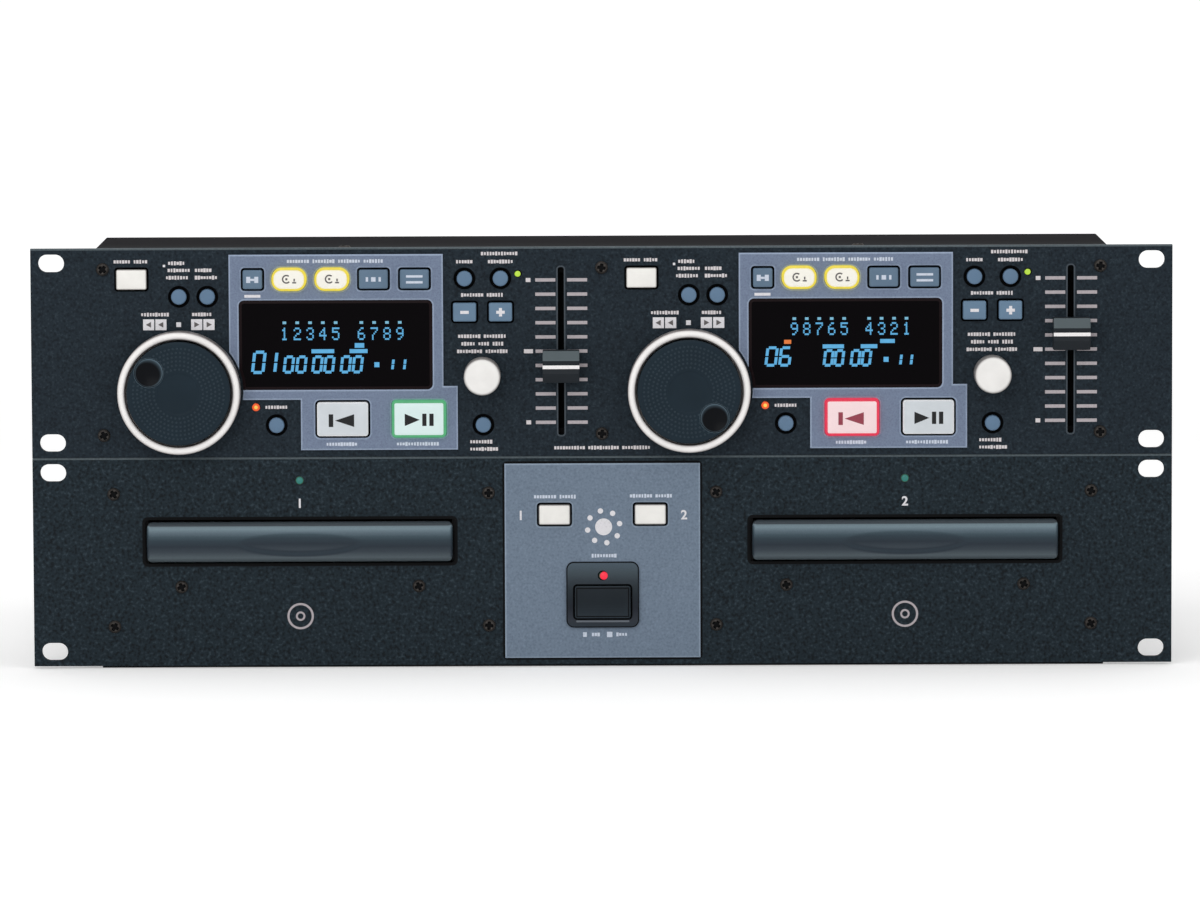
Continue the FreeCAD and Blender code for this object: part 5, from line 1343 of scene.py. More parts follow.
@dataclass(frozen=True)
class SelectKnob:
    """A plain white knob with a rolled edge and a slightly crowned face, on its shaft."""

    number: int
    radius: float = 7.75
    back: float = 0.8
    front: float = 14.0
    shaft_r: float = 2.5
    shaft_back: float = -9.0
    edge: float = 1.4
    crown: float = 0.5
    foot: Point = (0.3, 0.4)
    face_shares: tuple[float, ...] = (0.8, 0.6, 0.4, 0.2, 0.02)

    def build(self) -> None:
        """Build the knob in place of its node."""
        name = f"select_knob_{self.number}"
        profile = [(self.shaft_r, self.shaft_back), (self.shaft_r, self.back),
                   (self.radius - self.foot[0], self.back), (self.radius, self.back + self.foot[1])]
        profile += rolled(self.radius, self.front - self.crown, self.edge, 2 * EDGE_STEPS)
        for share in self.face_shares:
            profile.append(((self.radius - self.edge) * share, self.front - self.crown * share ** 2))
        shape = Shape()
        # The knob's finish paints shade on its rolled edge.
        shape.spin(CONTROL.behind(name), profile, KNOB_WHITE_PAINTED_EDGE_SHADE)
        shape.build(f"{name}_moulding", name, "white_knob", (name,))


@dataclass(frozen=True)
class TempoSlider:
    """The tempo slider: its dipped cap, the white line across it and the scale beside its slot."""

    number: int
    centre_x: float
    centre_z: float = 44.45
    rows: int = 11
    row_pitch: float = 6.04
    left_middle: float = -6.55
    right_middle: float = 6.9
    tick_wide: float = 8.5
    tick_high: float = 1.4
    line_high: float = 1.5
    cap_wide: float = 15.5
    groove: float = 10.7
    ridge: float = 2.7
    slope_ahead: float = 9.0
    line_root: float = 0.4
    line_head: float = 0.5
    slot_wide: float = 2.6
    slot_long: float = 71.3
    slot_frame: float = 0.6
    side_marks: tuple[float, float, float] = (2.0, 3.8, 2.0)
    side_mark_left: float = 13.8
    cap_edge: float = 0.4

    def build(self) -> None:
        """Build the cap, its line and its scale."""
        name = f"tempo_slider_{self.number}"
        middle = CONTROL.behind(name)
        # The cap's upper slope takes the lighter plastic as a painted highlight.
        slope = Region((-FAR, -FAR, middle.z + self.ridge * MM),
                       (FAR, CONTROL.front - self.slope_ahead * MM, FAR), SLIDER_SLOPE_PAINTED_HIGHLIGHT)
        softened_copy(name, f"{name}_cap", self.cap_edge, SLIDER_DARK, [slope], name)
        line = Shape()
        line.prism(middle, rectangle(self.cap_wide, self.line_high), self.groove - self.line_root,
                   self.groove + self.line_head, LINE_WHITE)
        line.build(f"{name}_line", name, "slider_cap")
        points = []
        for row in range(self.rows):
            z = self.centre_z + (row - (self.rows - 1) / 2) * self.row_pitch
            for offset in (self.left_middle, self.right_middle):
                points.append(CONTROL.at(self.centre_x + offset, z))
        small_boxes(f"{name}_scale", points, (self.tick_wide, 2 * PRINT_THICK, self.tick_high), GREY_INK,
                    CHASSIS)
        marks = Shape()
        frame_ring(marks, CONTROL.at(self.centre_x, self.centre_z), self.slot_wide, self.slot_long,
                   self.slot_frame, SLOT_EDGE)
        for step, wide in zip((-1, 0, 1), self.side_marks):
            z = self.centre_z + step * self.row_pitch * (self.rows - 1) / 2
            place = CONTROL.at(self.centre_x - self.side_mark_left, z)
            marks.print_flat(place, rectangle(wide, BLOCK_HIGH), 0.0, WARM_INK)
        marks.build(f"{name}_scale_marks", CHASSIS, "textured_panel_paint")


# --- legends and displays --------------------------------------------------------------


@dataclass(frozen=True)
class Bar:
    """A plain printed rectangle: its middle and its sides."""

    x: float
    z: float
    wide: float
    high: float = 1.1
    finish: Finish = WHITE_INK

    def draw(self, shape: Shape, unit: Unit, origin: float, ahead: float) -> None:
        """Print the rectangle on a unit's surface, X measured from an origin."""
        place = unit.at(origin + self.x, self.z)
        shape.print_flat(place, rectangle(self.wide, self.high), ahead, self.finish)


@dataclass(frozen=True)
class PrintedLine:
    """A line of small printed blocks that stands where words would be."""

    x: float
    z: float
    wide: float
    words: int = 1

    def places(self) -> list[Point]:
        """Return the middles of the line's blocks, with a block left out between words."""
        count = round(self.wide / BLOCK_PITCH)
        gaps = {round(count * word / self.words) for word in range(1, self.words)}
        left = self.x - (count - 1) / 2 * BLOCK_PITCH
        return [(left + index * BLOCK_PITCH, self.z) for index in range(count) if index not in gaps]


GLYPHS = {
    "0": "01110 10001 10011 10101 11001 10001 01110",
    "1": "00100 01100 00100 00100 00100 00100 01110",
    "2": "01110 10001 00001 00110 01000 10000 11111",
    "3": "01110 10001 00001 00110 00001 10001 01110",
    "4": "00010 00110 01010 10010 11111 00010 00010",
    "5": "11111 10000 11110 00001 00001 10001 01110",
    "6": "00110 01000 10000 11110 10001 10001 01110",
    "7": "11111 00001 00010 00100 01000 01000 01000",
    "8": "01110 10001 10001 01110 10001 10001 01110",
    "9": "01110 10001 10001 01111 00001 00010 01100",
}
SEGMENTS = {
    "0": "abcdef", "1": "bc", "2": "abged", "3": "abgcd", "4": "fgbc",
    "5": "afgcd", "6": "afgedc", "7": "abc", "8": "abcdefg", "9": "abcdfg",
}


@dataclass(frozen=True)
class Digit:
    """A digit of seven bars, leaning a little to the right."""

    text: str
    x: float
    z: float
    wide: float
    high: float
    thick: float
    lean: float = 0.12
    tuck: float = 0.35
    bar_share: float = 0.86

    def draw(self, shape: Shape, unit: Unit, origin: float, ahead: float, finish: Finish) -> None:
        """Add the digit's lit bars to a shape.

        Args:
            shape: The shape.
            unit: The unit whose face it is measured on.
            origin: Where X is measured from.
            ahead: The level of the surface behind it.
            finish: The bars' finish.
        """
        half_w, half_h, grow = self.wide / 2, self.high / 2, self.thick / 2
        reach = half_w - self.thick * self.tuck
        bars = {
            "a": (0, half_h, reach, 0), "g": (0, 0, reach, 0), "d": (0, -half_h, reach, 0),
            "b": (half_w, half_h / 2, 0, half_h / 2), "c": (half_w, -half_h / 2, 0, half_h / 2),
            "f": (-half_w, half_h / 2, 0, half_h / 2), "e": (-half_w, -half_h / 2, 0, half_h / 2),
        }
        for letter in SEGMENTS[self.text]:
            x, z, along, up = bars[letter]
            half = (grow, up * self.bar_share) if up else (along, grow)
            bar = [(x + px, z + pz) for px, pz in rectangle(2 * half[0], 2 * half[1])]
            outline = [(px + pz * self.lean, pz) for px, pz in bar]
            shape.print_flat(unit.at(origin + self.x, self.z), outline, ahead, finish)


@dataclass(frozen=True)
class DisplayContent:
    """What a deck's display shows: a row of dot characters, digits, bars and dots."""

    row: str
    row_left: float
    row_right: float
    row_low: float
    row_high: float
    point_z: float
    digits: tuple[Digit, ...]
    bars: tuple[Bar, ...]


@dataclass(frozen=True)
class Display:
    """A deck's display window and what is lit in it; X is measured from the wheel."""

    number: int
    origin: float
    content: DisplayContent
    window_ahead: float = 1.2
    dot_wide: float = 0.8
    dot_high: float = 0.92
    point_right: float = 1.6
    point_wide: float = 1.5
    point_high: float = 1.1

    def build(self) -> None:
        """Build the lit row, digits and bars."""
        content = self.content
        pitch = (content.row_high - content.row_low) / (GLYPH_ROWS - 1)
        step = (content.row_right - content.row_left) / len(content.row)
        forward = Vector((0, -self.window_ahead * MM, 0))
        points = []
        shape = Shape()
        for place, letter in enumerate(content.row):
            if letter not in GLYPHS:
                continue
            left = self.origin + content.row_left + step * place
            for line, dots in enumerate(GLYPHS[letter].split()):
                z = content.row_high - line * pitch
                points += [CONTROL.at(left + column * pitch * self.dot_wide, z) + forward
                           for column, lit in enumerate(dots) if lit == "1"]
            shape.print_flat(CONTROL.at(left + self.point_right * pitch, content.point_z),
                             rectangle(self.point_wide, self.point_high), self.window_ahead, DISPLAY_PALE)
        small_boxes(f"display_{self.number}_row", points,
                    (pitch * self.dot_wide, 2 * PRINT_THICK, pitch * self.dot_high), DISPLAY_BLUE, CHASSIS)
        for digit in content.digits:
            digit.draw(shape, CONTROL, self.origin, self.window_ahead, DISPLAY_BLUE)
        for bar in content.bars:
            bar.draw(shape, CONTROL, self.origin, self.window_ahead)
        shape.build(f"display_{self.number}_figures", CHASSIS, "display_window")


@dataclass(frozen=True)
class Legends:
    """The printed lines and rectangles of one surface."""

    name: str
    lines: tuple[PrintedLine, ...]
    bars: tuple[Bar, ...] = ()
    unit: Unit = CONTROL
    ahead: float = 0.0
    origin: float = 0.0
    slot: str = "textured_panel_paint"
    ink: Finish = WARM_INK

    def build(self) -> None:
        """Print the lines and the rectangles."""
        points = [self.unit.at(self.origin + x, z) + Vector((0, -self.ahead * MM, 0))
                  for line in self.lines for x, z in line.places()]
        small_boxes(self.name, points, (BLOCK_WIDE, 2 * PRINT_THICK, BLOCK_HIGH), self.ink, CHASSIS,
                    BLOCK_UNEVEN)
        if self.bars:
            shape = Shape()
            for bar in self.bars:
                bar.draw(shape, self.unit, self.origin, self.ahead)
            shape.build(f"{self.name}_blocks", CHASSIS, self.slot)


def lamp(shape: Shape, place: Vector, radius: float, ahead: float, finish: Finish) -> None:
    """Add a domed lamp lens to a shape.

    Args:
        shape: The shape.
        place: The point of the panel's face at the lamp's middle.
        radius: Its radius.
        ahead: The level of the surface round it.
        finish: Its finish.
    """
    levels = [(ring_outline(radius, SMALL_STEPS), ahead - LENS_ROOT)]
    for step in range(EDGE_STEPS + 1):
        angle = math.radians(LENS_TURN * step / EDGE_STEPS)
        level = ahead + LENS_HIGH * radius * math.sin(angle) - LENS_SINK
        levels.append((ring_outline(radius * math.cos(angle), SMALL_STEPS), level))
    shape.loft(place, levels, finish)


# --- decks -------------------------------------------------------------------------------


@dataclass(frozen=True)
class DeckLook:
    """How one deck differs from the other: what is lit and what its display shows."""

    number: int
    origin: float
    dimple_angle: float
    cue_finish: Finish
    cue_rim: Finish | None
    cue_ink: Finish
    play_finish: Finish
    play_rim: Finish | None
    content: DisplayContent


@dataclass
class Deck:
    """One deck of the control unit."""

    look: DeckLook
    plate_ahead: float = 1.2
    arrow_x: tuple[float, ...] = (-12.9, -7.7, 7.4, 12.6)
    arrow_z: float = 56.3
    mode_lamp: Point = (32.2, 21.1)
    tempo_lamp: Point = (143.2, 77.3)
    mode_lamp_r: float = 1.7
    tempo_lamp_r: float = 1.3
    heart_share: float = 0.55
    heart_ahead: float = 0.5
    slider_x: float = 161.4
    keys: list[KeyCap] = field(default_factory=list)

    def __post_init__(self) -> None:
        """List the deck's keys with their finishes and marks."""
        number = self.look.number
        ovals = {"corner": 3.6, "mark": Mark.LOOP, "ink": DIM_INK, "rim": YELLOW_RIM, "rim_in": 0.1}
        self.keys = [
            KeyCap(f"open_key_{number}", WHITE_CAP_PAINTED_EDGE_SHADE),
            KeyCap(f"memory_key_{number}", STEEL_BLUE_CAP, mark=Mark.PAIR, ink=PALE_INK),
            KeyCap(f"point_a_key_{number}", CREAM_CAP, **ovals),
            KeyCap(f"point_b_key_{number}", CREAM_CAP, **ovals),
            KeyCap(f"loop_key_{number}", STEEL_BLUE_CAP, mark=Mark.DOTS, ink=PALE_INK),
            KeyCap(f"exit_key_{number}", STEEL_BLUE_CAP, mark=Mark.BARS, ink=PALE_INK),
            KeyCap(f"cue_key_{number}", self.look.cue_finish, 1.2, Mark.RETURN, self.look.cue_ink,
                   self.look.cue_rim, mark_drop=0.5),
            KeyCap(f"play_key_{number}", self.look.play_finish, 1.2, Mark.PLAY, rim=self.look.play_rim,
                   mark_drop=0.3),
        ]
        self.keys += [KeyCap(f"{use}_key_{number}", PALE_BLUE_CAP, mark=mark, ink=WHITE_INK,
                             slot="blue_grey_key")
                      for use, mark in (("minus", Mark.MINUS), ("plus", Mark.PLUS))]
        self.keys += [KeyCap(f"{use}_key_{number}", BLUE_CAP, 3.8, slot="blue_grey_key", shrink=0.55)
                      for use in ("time", "title", "mode", "tempo", "range", "back")]

    def legends(self) -> None:
        """Print the lines round the deck's controls and the arrows over its wheel."""
        number, origin = self.look.number, self.look.origin
        panel = (
            PrintedLine(-20.4, 83.0, 14.0, 2), PrintedLine(-1.0, 82.3, 7.6), PrintedLine(0.0, 79.3, 9.0),
            PrintedLine(-0.8, 76.2, 9.0), PrintedLine(10.3, 79.3, 7.8), PrintedLine(11.5, 76.2, 9.8),
            PrintedLine(-10.2, 60.6, 11.6), PrintedLine(9.6, 60.6, 8.2), PrintedLine(40.8, 21.1, 9.8),
            PrintedLine(120.6, 82.5, 7.4), PrintedLine(135.4, 85.9, 16.0), PrintedLine(135.9, 82.5, 10.6),
            PrintedLine(128.1, 68.4, 17.6, 2), PrintedLine(128.0, 50.9, 20.6, 2),
            PrintedLine(128.1, 47.7, 17.6, 3), PrintedLine(128.1, 44.5, 22.0, 2),
            PrintedLine(127.4, 6.1, 10.0), PrintedLine(128.6, 3.0, 11.8),
        )
        squares = tuple(Bar(x, self.arrow_z, 4.7, 4.6) for x in self.arrow_x)
        dots = (Bar(-0.2, self.arrow_z, 2.0, 2.0), Bar(-6.2, 81.2, 1.0, 1.0))
        Legends(f"deck_{number}_panel_legends", panel, squares + dots, origin=origin).build()
        plate = (PrintedLine(66.0, 83.0, 40.6, 4), PrintedLine(68.4, 5.4, 13.0),
                 PrintedLine(100.6, 5.4, 17.6))
        Legends(f"deck_{number}_plate_legends", plate, (Bar(31.1, 68.3, 6.8, 1.2),), ahead=self.plate_ahead,
                origin=origin, slot="blue_grey_plate", ink=PALE_INK).build()
        arrows = Shape()
        for x in self.arrow_x:
            side = math.copysign(1.0, x)
            arrow = [(-1.0 * side, 1.2), (1.2 * side, 0.0), (-1.0 * side, -1.2)]
            arrows.prism(CONTROL.at(origin + x, self.arrow_z), arrow, 0.0, 2 * PRINT_THICK, DIM_INK)
        arrows.build(f"deck_{number}_search_arrows", CHASSIS, "textured_panel_paint")

    def lamps(self) -> None:
        """Set the deck's two lamps."""
        shape = Shape()
        mode, tempo = (CONTROL.at(self.look.origin + x, z) for x, z in (self.mode_lamp, self.tempo_lamp))
        lamp(shape, mode, self.mode_lamp_r, 0.0, AMBER_LAMP)
        lamp(shape, mode, self.mode_lamp_r * self.heart_share, self.heart_ahead, AMBER_HEART)
        lamp(shape, tempo, self.tempo_lamp_r, 0.0, LIME_LAMP)
        shape.build(f"deck_{self.look.number}_lamps", CHASSIS, "textured_panel_paint")

    def build(self) -> None:
        """Build the deck."""
        for key in self.keys:
            key.build()
        JogWheel(self.look.number, self.look.dimple_angle).build()
        SelectKnob(self.look.number).build()
        TempoSlider(self.look.number, self.look.origin + self.slider_x).build()
        Display(self.look.number, self.look.origin, self.look.content).build()
        self.legends()
        self.lamps()


FIRST_CONTENT = DisplayContent(
    row="12345 6789", row_left=43.3, row_right=97.5, row_low=50.0, row_high=54.6, point_z=57.0,
    digits=(Digit("0", 33.6, 40.3, 4.4, 8.6, 1.3), Digit("1", 38.6, 40.3, 4.4, 8.6, 1.3),
            *(Digit("0", x, 39.3, 3.4, 6.5, 1.2) for x in (46.3, 51.6, 58.4, 63.4, 70.4, 75.4)),
            Digit("1", 89.4, 39.2, 1.8, 4.4, 1.1), Digit("1", 94.4, 39.2, 1.8, 4.4, 1.1)),
    bars=(Bar(60.7, 44.9, 9.6, 1.7, DISPLAY_BLUE), Bar(75.8, 44.9, 7.6, 1.7, DISPLAY_BLUE),
          Bar(76.2, 47.3, 4.0, 2.0, DISPLAY_BLUE), Bar(83.5, 39.1, 2.1, 2.1, DISPLAY_BLUE)))
SECOND_CONTENT = DisplayContent(
    row="98765 4321", row_left=43.3, row_right=96.0, row_low=51.3, row_high=55.9, point_z=57.9,
    digits=(Digit("0", 34.9, 41.9, 4.0, 7.4, 1.2), Digit("6", 40.7, 41.9, 4.0, 7.4, 1.2),
            *(Digit("0", x, 41.2, 3.2, 6.2, 1.2) for x in (59.0, 63.5, 70.4, 75.0)),
            Digit("1", 88.7, 40.4, 1.8, 4.4, 1.1), Digit("1", 93.2, 40.4, 1.8, 4.4, 1.1)),
    bars=(Bar(41.7, 48.1, 3.0, 1.7, DISPLAY_ORANGE), Bar(61.0, 46.1, 9.0, 1.7, DISPLAY_BLUE),
          Bar(76.1, 46.1, 7.0, 1.7, DISPLAY_BLUE), Bar(83.9, 48.3, 6.2, 1.7, DISPLAY_BLUE),
          Bar(83.3, 40.5, 2.1, 2.1, DISPLAY_BLUE)))
DECKS = (
    DeckLook(1, -178.6, 144.0, GREY_CAP_PAINTED_EDGE_HIGHLIGHT, None, BLACK_INK, MINT_CAP, GREEN_RIM, FIRST_CONTENT),
    DeckLook(2, 36.9, -46.0, ROSE_CAP, RED_RIM, ROSE_INK, GREY_CAP_PAINTED_EDGE_HIGHLIGHT, None, SECOND_CONTENT),
)


# --- drive unit --------------------------------------------------------------------------


@dataclass(frozen=True)
class TrayFront:
    """A disc tray: its glossy front with a lens-shaped hollow, and the moulding behind it."""

    number: int
    centre_x: float
    centre_z: float = 52.9
    wide: float = 129.4
    high: float = 16.9
    back: float = -1.0
    front: float = 5.0
    corner: float = 2.4
    edge: float = 1.6
    roll: float = 1.5
    lens_wide: float = 26.0
    lens_high: float = 5.0
    lens_slope: float = 0.05
    lens_lip: float = 2.2
    lens_drop: float = 0.9
    columns: int = 150
    rows: int = 44
    crowd: float = 0.35
    least_thick: float = 0.5
    moulding_ahead: float = 0.4

    def fall(self, x: float, z: float) -> float:
        """Return how far the front's face falls behind its highest level at a point."""
        share = z / (self.high / 2)
        curve = self.roll * share ** 2
        reach = self.lens_high * math.sqrt(max(1 - (x / self.lens_wide) ** 2, 0.0))
        below = reach - z - self.lens_drop
        if not 0 < below < 2 * reach:
            return curve
        return curve + self.lens_slope * below * min((2 * reach - below) / self.lens_lip, 1.0)

    def build_front(self) -> None:
        """Build the glossy front as a closed grid: a curved face on a straight back."""
        centre = DRIVE.at(self.centre_x, self.centre_z)
        shape = Shape()
        # The front's colour is painted reflection and painted shade by the tilt of each face.
        slot = shape.slot(TRAY_FRONT_PAINTED_REFLECTION)
        grid = [[shape.mesh.verts.new(centre + self.face_point(column, row))
                 for column in range(self.columns + 1)] for row in range(self.rows + 1)]
        for below, above in zip(grid, grid[1:]):
            for column in range(self.columns):
                after = column + 1
                corners = (below[column], below[after], above[after], above[column])
                shape.mesh.faces.new(corners).smooth = True
        border = (grid[0] + [line[-1] for line in grid[1:]] + list(reversed(grid[-1][:-1]))
                  + [line[0] for line in reversed(grid[1:-1])])
        back = [shape.mesh.verts.new((vert.co.x, DRIVE.front - self.back * MM, vert.co.z)) for vert in border]
        for index, vert in enumerate(border):
            after = (index + 1) % len(border)
            shape.mesh.faces.new((vert, border[after], back[after], back[index])).smooth = True
        shape.mesh.faces.new(back)
        for face in shape.mesh.faces:
            face.material_index = slot
        shape.build(f"disc_tray_{self.number}_front", f"disc_tray_{self.number}", "tray_moulding",
                    (f"disc_tray_{self.number}",))

    def face_point(self, column: int, row: int) -> Vector:
        """Return a point of the face's grid from the middle of the front.

        Args:
            column: The grid's column, from the left.
            row: The grid's row, from the bottom.

        Returns:
            The point, in metres.
        """
        across = 2 * column / self.columns - 1
        up = 2 * row / self.rows - 1
        across = math.sin(across * math.pi / 2) * self.crowd + across * (1 - self.crowd)
        up = math.sin(up * math.pi / 2)
        half_w, half_h = self.wide / 2, self.high / 2
        x, z = across * half_w, up * half_h
        side = half_w - abs(x)
        if side < self.corner:
            inward = 1 - math.sqrt(max(1 - ((self.corner - side) / self.corner) ** 2, 0.0))
            z *= 1 - inward * self.corner / half_h
        rim = min(half_w - abs(x), half_h - abs(z))
        round_off = self.edge - math.sqrt(max(self.edge ** 2 - (self.edge - min(rim, self.edge)) ** 2, 0.0))
        ahead = max(self.front - self.fall(x, z) - round_off, self.back + self.least_thick)
        return Vector((x * MM, -ahead * MM, z * MM))

    def build_moulding(self) -> None:
        """Copy the tray behind its front, with the front cut off."""
        name = f"disc_tray_{self.number}"
        mesh = node_mesh(name)
        cut = bmesh.ops.bisect_plane(mesh, geom=mesh.verts[:] + mesh.edges[:] + mesh.faces[:], dist=CUT_REACH,
                                     plane_co=(0, DRIVE.front - (self.back + self.moulding_ahead) * MM, 0),
                                     plane_no=(0, -1, 0), clear_outer=True)
        rim = [part for part in cut["geom_cut"] if isinstance(part, bmesh.types.BMEdge)]
        bmesh.ops.holes_fill(mesh, edges=rim, sides=0)
        data = closed_mesh(mesh, f"{name}_moulding")
        data.materials.append(TRAY_BLACK.material())
        dress(f"{name}_moulding", data, name, (name,))

    def build(self) -> None:
        """Build the tray."""
        self.build_front()
        self.build_moulding()


def frame_ring(shape: Shape, place: Vector, wide: float, high: float, thick: float,
               finish: Finish = BLACK_PLASTIC_AND_PAINTED_SHADOW) -> None:
    """Lay a thin frame round an opening or a plate; in its default deep black it is painted shadow in the gap
    there.
    """
    outer = rounded(wide + 2 * thick, high + 2 * thick, 1.0 + thick)
    shape.print_band(place, outer, rounded(wide, high, 1.0), finish)


@dataclass(frozen=True)
class CentrePlate:
    """The plate between the trays with its keys, bezel, power button and prints."""

    ahead: float = 1.2
    numeral_x: tuple[float, float] = (-34.6, 34.6)
    numeral_z: float = 63.5
    lamp_x: float = 0.5
    lamp_z: float = 38.0
    lamp_r: float = 1.7
    bezel_ahead: float = 2.7
    plate_z: float = 44.3
    plate_side: float = 82.8
    gap_wide: float = 0.9
    ring_z: float = 58.7
    ring_r: float = 6.9
    ring_dots: int = 8
    dot_r: float = 1.15
    dot_steps: int = 16
    heart_r: float = 3.6
    heart_steps: int = 32
    head_roll: float = 0.9
    head_share: float = 0.3
    button_roll: float = 0.7
    lip_wide: float = 22.6
    lip_high: float = 0.8
    lip_z: float = 18.6
    lip_levels: Point = (-0.3, 0.15)
    bezel_bands: int = 24
    button_bands: int = 12

    def bezel_fall(self, share: float) -> float:
        """Return how far the bezel's head rolls back at a share of its height."""
        return self.head_roll * max((share - 1 + self.head_share) / self.head_share, 0.0) ** 2

    def button_fall(self, share: float) -> float:
        """Return how far the button's face falls back towards its head and foot."""
        return self.button_roll * (2 * share - 1) ** 2

    def build(self) -> None:
        """Build the plate, the keys, the bezel with its button and lamp, and the prints."""
        # The plate's lighter chamfer is a painted highlight.
        faced_copy("drive_plate", "centre_plate", (CENTRE_PAINT, CENTRE_EDGE_PAINTED_HIGHLIGHT), PLATE_CHAMFER, CHASSIS)
        # The bezel's finish is painted light by height; its deep black chamfer is painted shadow in the gap
        # round it.
        faced_copy("switch_bezel", "power_bezel", (BEZEL_PAINTED_LIGHT, BLACK_PLASTIC_AND_PAINTED_SHADOW), BEZEL_CHAMFER, CHASSIS,
                   self.bezel_bands, self.bezel_fall)
        # The button's finish is a painted sheen; its deep black chamfer is painted shadow in the gap round it.
        faced_copy("power_button", "power_button_cap", (BUTTON_PAINTED_SHEEN, BLACK_PLASTIC_AND_PAINTED_SHADOW), BEZEL_CHAMFER,
                   "power_button", self.button_bands, self.button_fall)
        for number in (1, 2):
            KeyCap(f"tray_key_{number}", WHITE_CAP_PAINTED_EDGE_SHADE, unit=DRIVE).build()
        shape = Shape()
        lamp(shape, DRIVE.at(self.lamp_x, self.lamp_z), self.lamp_r, self.bezel_ahead, RED_LAMP)
        # The light lip strip under the button is a painted highlight.
        lip = rounded(self.lip_wide, self.lip_high, self.lip_high / 2)
        back, front = (self.bezel_ahead + level for level in self.lip_levels)
        shape.prism(DRIVE.at(0.0, self.lip_z), lip, back, front, BEZEL_LIP_PAINTED_HIGHLIGHT)
        # The black frame round the plate is painted shadow at its foot.
        frame_ring(shape, DRIVE.at(0.0, self.plate_z), self.plate_side, self.plate_side, self.gap_wide)
        shape.build("power_lamp", CHASSIS, "black_bezel")
        lines = (PrintedLine(-20.1, 71.6, 17.6, 2), PrintedLine(20.6, 71.8, 17.6, 2),
                 PrintedLine(0.6, 46.4, 10.4), PrintedLine(-3.0, 12.8, 3.6), PrintedLine(8.0, 12.8, 4.8))
        bars = (Bar(-7.6, 12.8, 1.6, 2.0, PALE_INK), Bar(2.9, 12.8, 2.3, 2.3, PALE_INK))
        Legends("centre_plate_legends", lines, bars, DRIVE, self.ahead, slot="blue_grey_plate",
                ink=PALE_INK).build()
        self.build_prints()

    def build_prints(self) -> None:
        """Print the numerals beside the keys and the ring of dots between them."""
        shape = Shape()
        for text, x in zip("12", self.numeral_x):
            place = DRIVE.at(x, self.numeral_z) + Vector((0, -self.ahead * MM, 0))
            printed_numeral(f"tray_key_numeral_{text}", text, place)
        middle = DRIVE.at(self.lamp_x, self.ring_z)
        shape.print_flat(middle, ring_outline(self.heart_r, self.heart_steps), self.ahead, WHITE_INK)
        for index in range(self.ring_dots):
            angle = 2 * math.pi * (index + 0.25) / self.ring_dots
            spot = middle + Vector((math.cos(angle), 0, math.sin(angle))) * self.ring_r * MM
            shape.print_flat(spot, ring_outline(self.dot_r, self.dot_steps), self.ahead, WHITE_INK)
        shape.build("centre_plate_dots", CHASSIS, "blue_grey_plate")


@dataclass(frozen=True)
class DriveFace:
    """The drive unit's front: its trays, lamps, numerals, disc symbols and centre plate."""

    tray_x: float = 128.2
    lamp_z: float = 78.85
    lamp_r: float = 1.5
    numeral_z: float = 68.9
    mouth_z: float = 52.9
    mouth_wide: float = 131.0
    mouth_high: float = 18.5
    mouth_frame: float = 1.3
    symbol_z: float = 21.0
    symbol_rings: tuple[Point, ...] = ((5.6, 0.9), (2.0, 0.8))
    panel_rise: float = 0.16

    def build(self) -> None:
        """Build the face."""
        edged_panel("drive_panel", DRIVE_PAINT, self.panel_rise)
        for number, side in ((1, -1), (2, 1)):
            x = side * self.tray_x
            TrayFront(number, x).build()
            shape = Shape()
            lamp(shape, DRIVE.at(x, self.lamp_z), self.lamp_r, 0.0, TEAL_LAMP)
            printed_numeral(f"tray_numeral_{number}", str(number), DRIVE.at(x, self.numeral_z))
            # The black frame round the tray's mouth is painted shadow in the gap round it.
            frame_ring(shape, DRIVE.at(x, self.mouth_z), self.mouth_wide, self.mouth_high, self.mouth_frame)
            for radius, thick in self.symbol_rings:
                shape.print_band(DRIVE.at(x, self.symbol_z), ring_outline(radius),
                                 ring_outline(radius - thick), GREY_INK)
            shape.build(f"tray_{number}_lamp", CHASSIS, "speckled_panel_paint")
        CentrePlate().build()


# --- screws --------------------------------------------------------------------------------


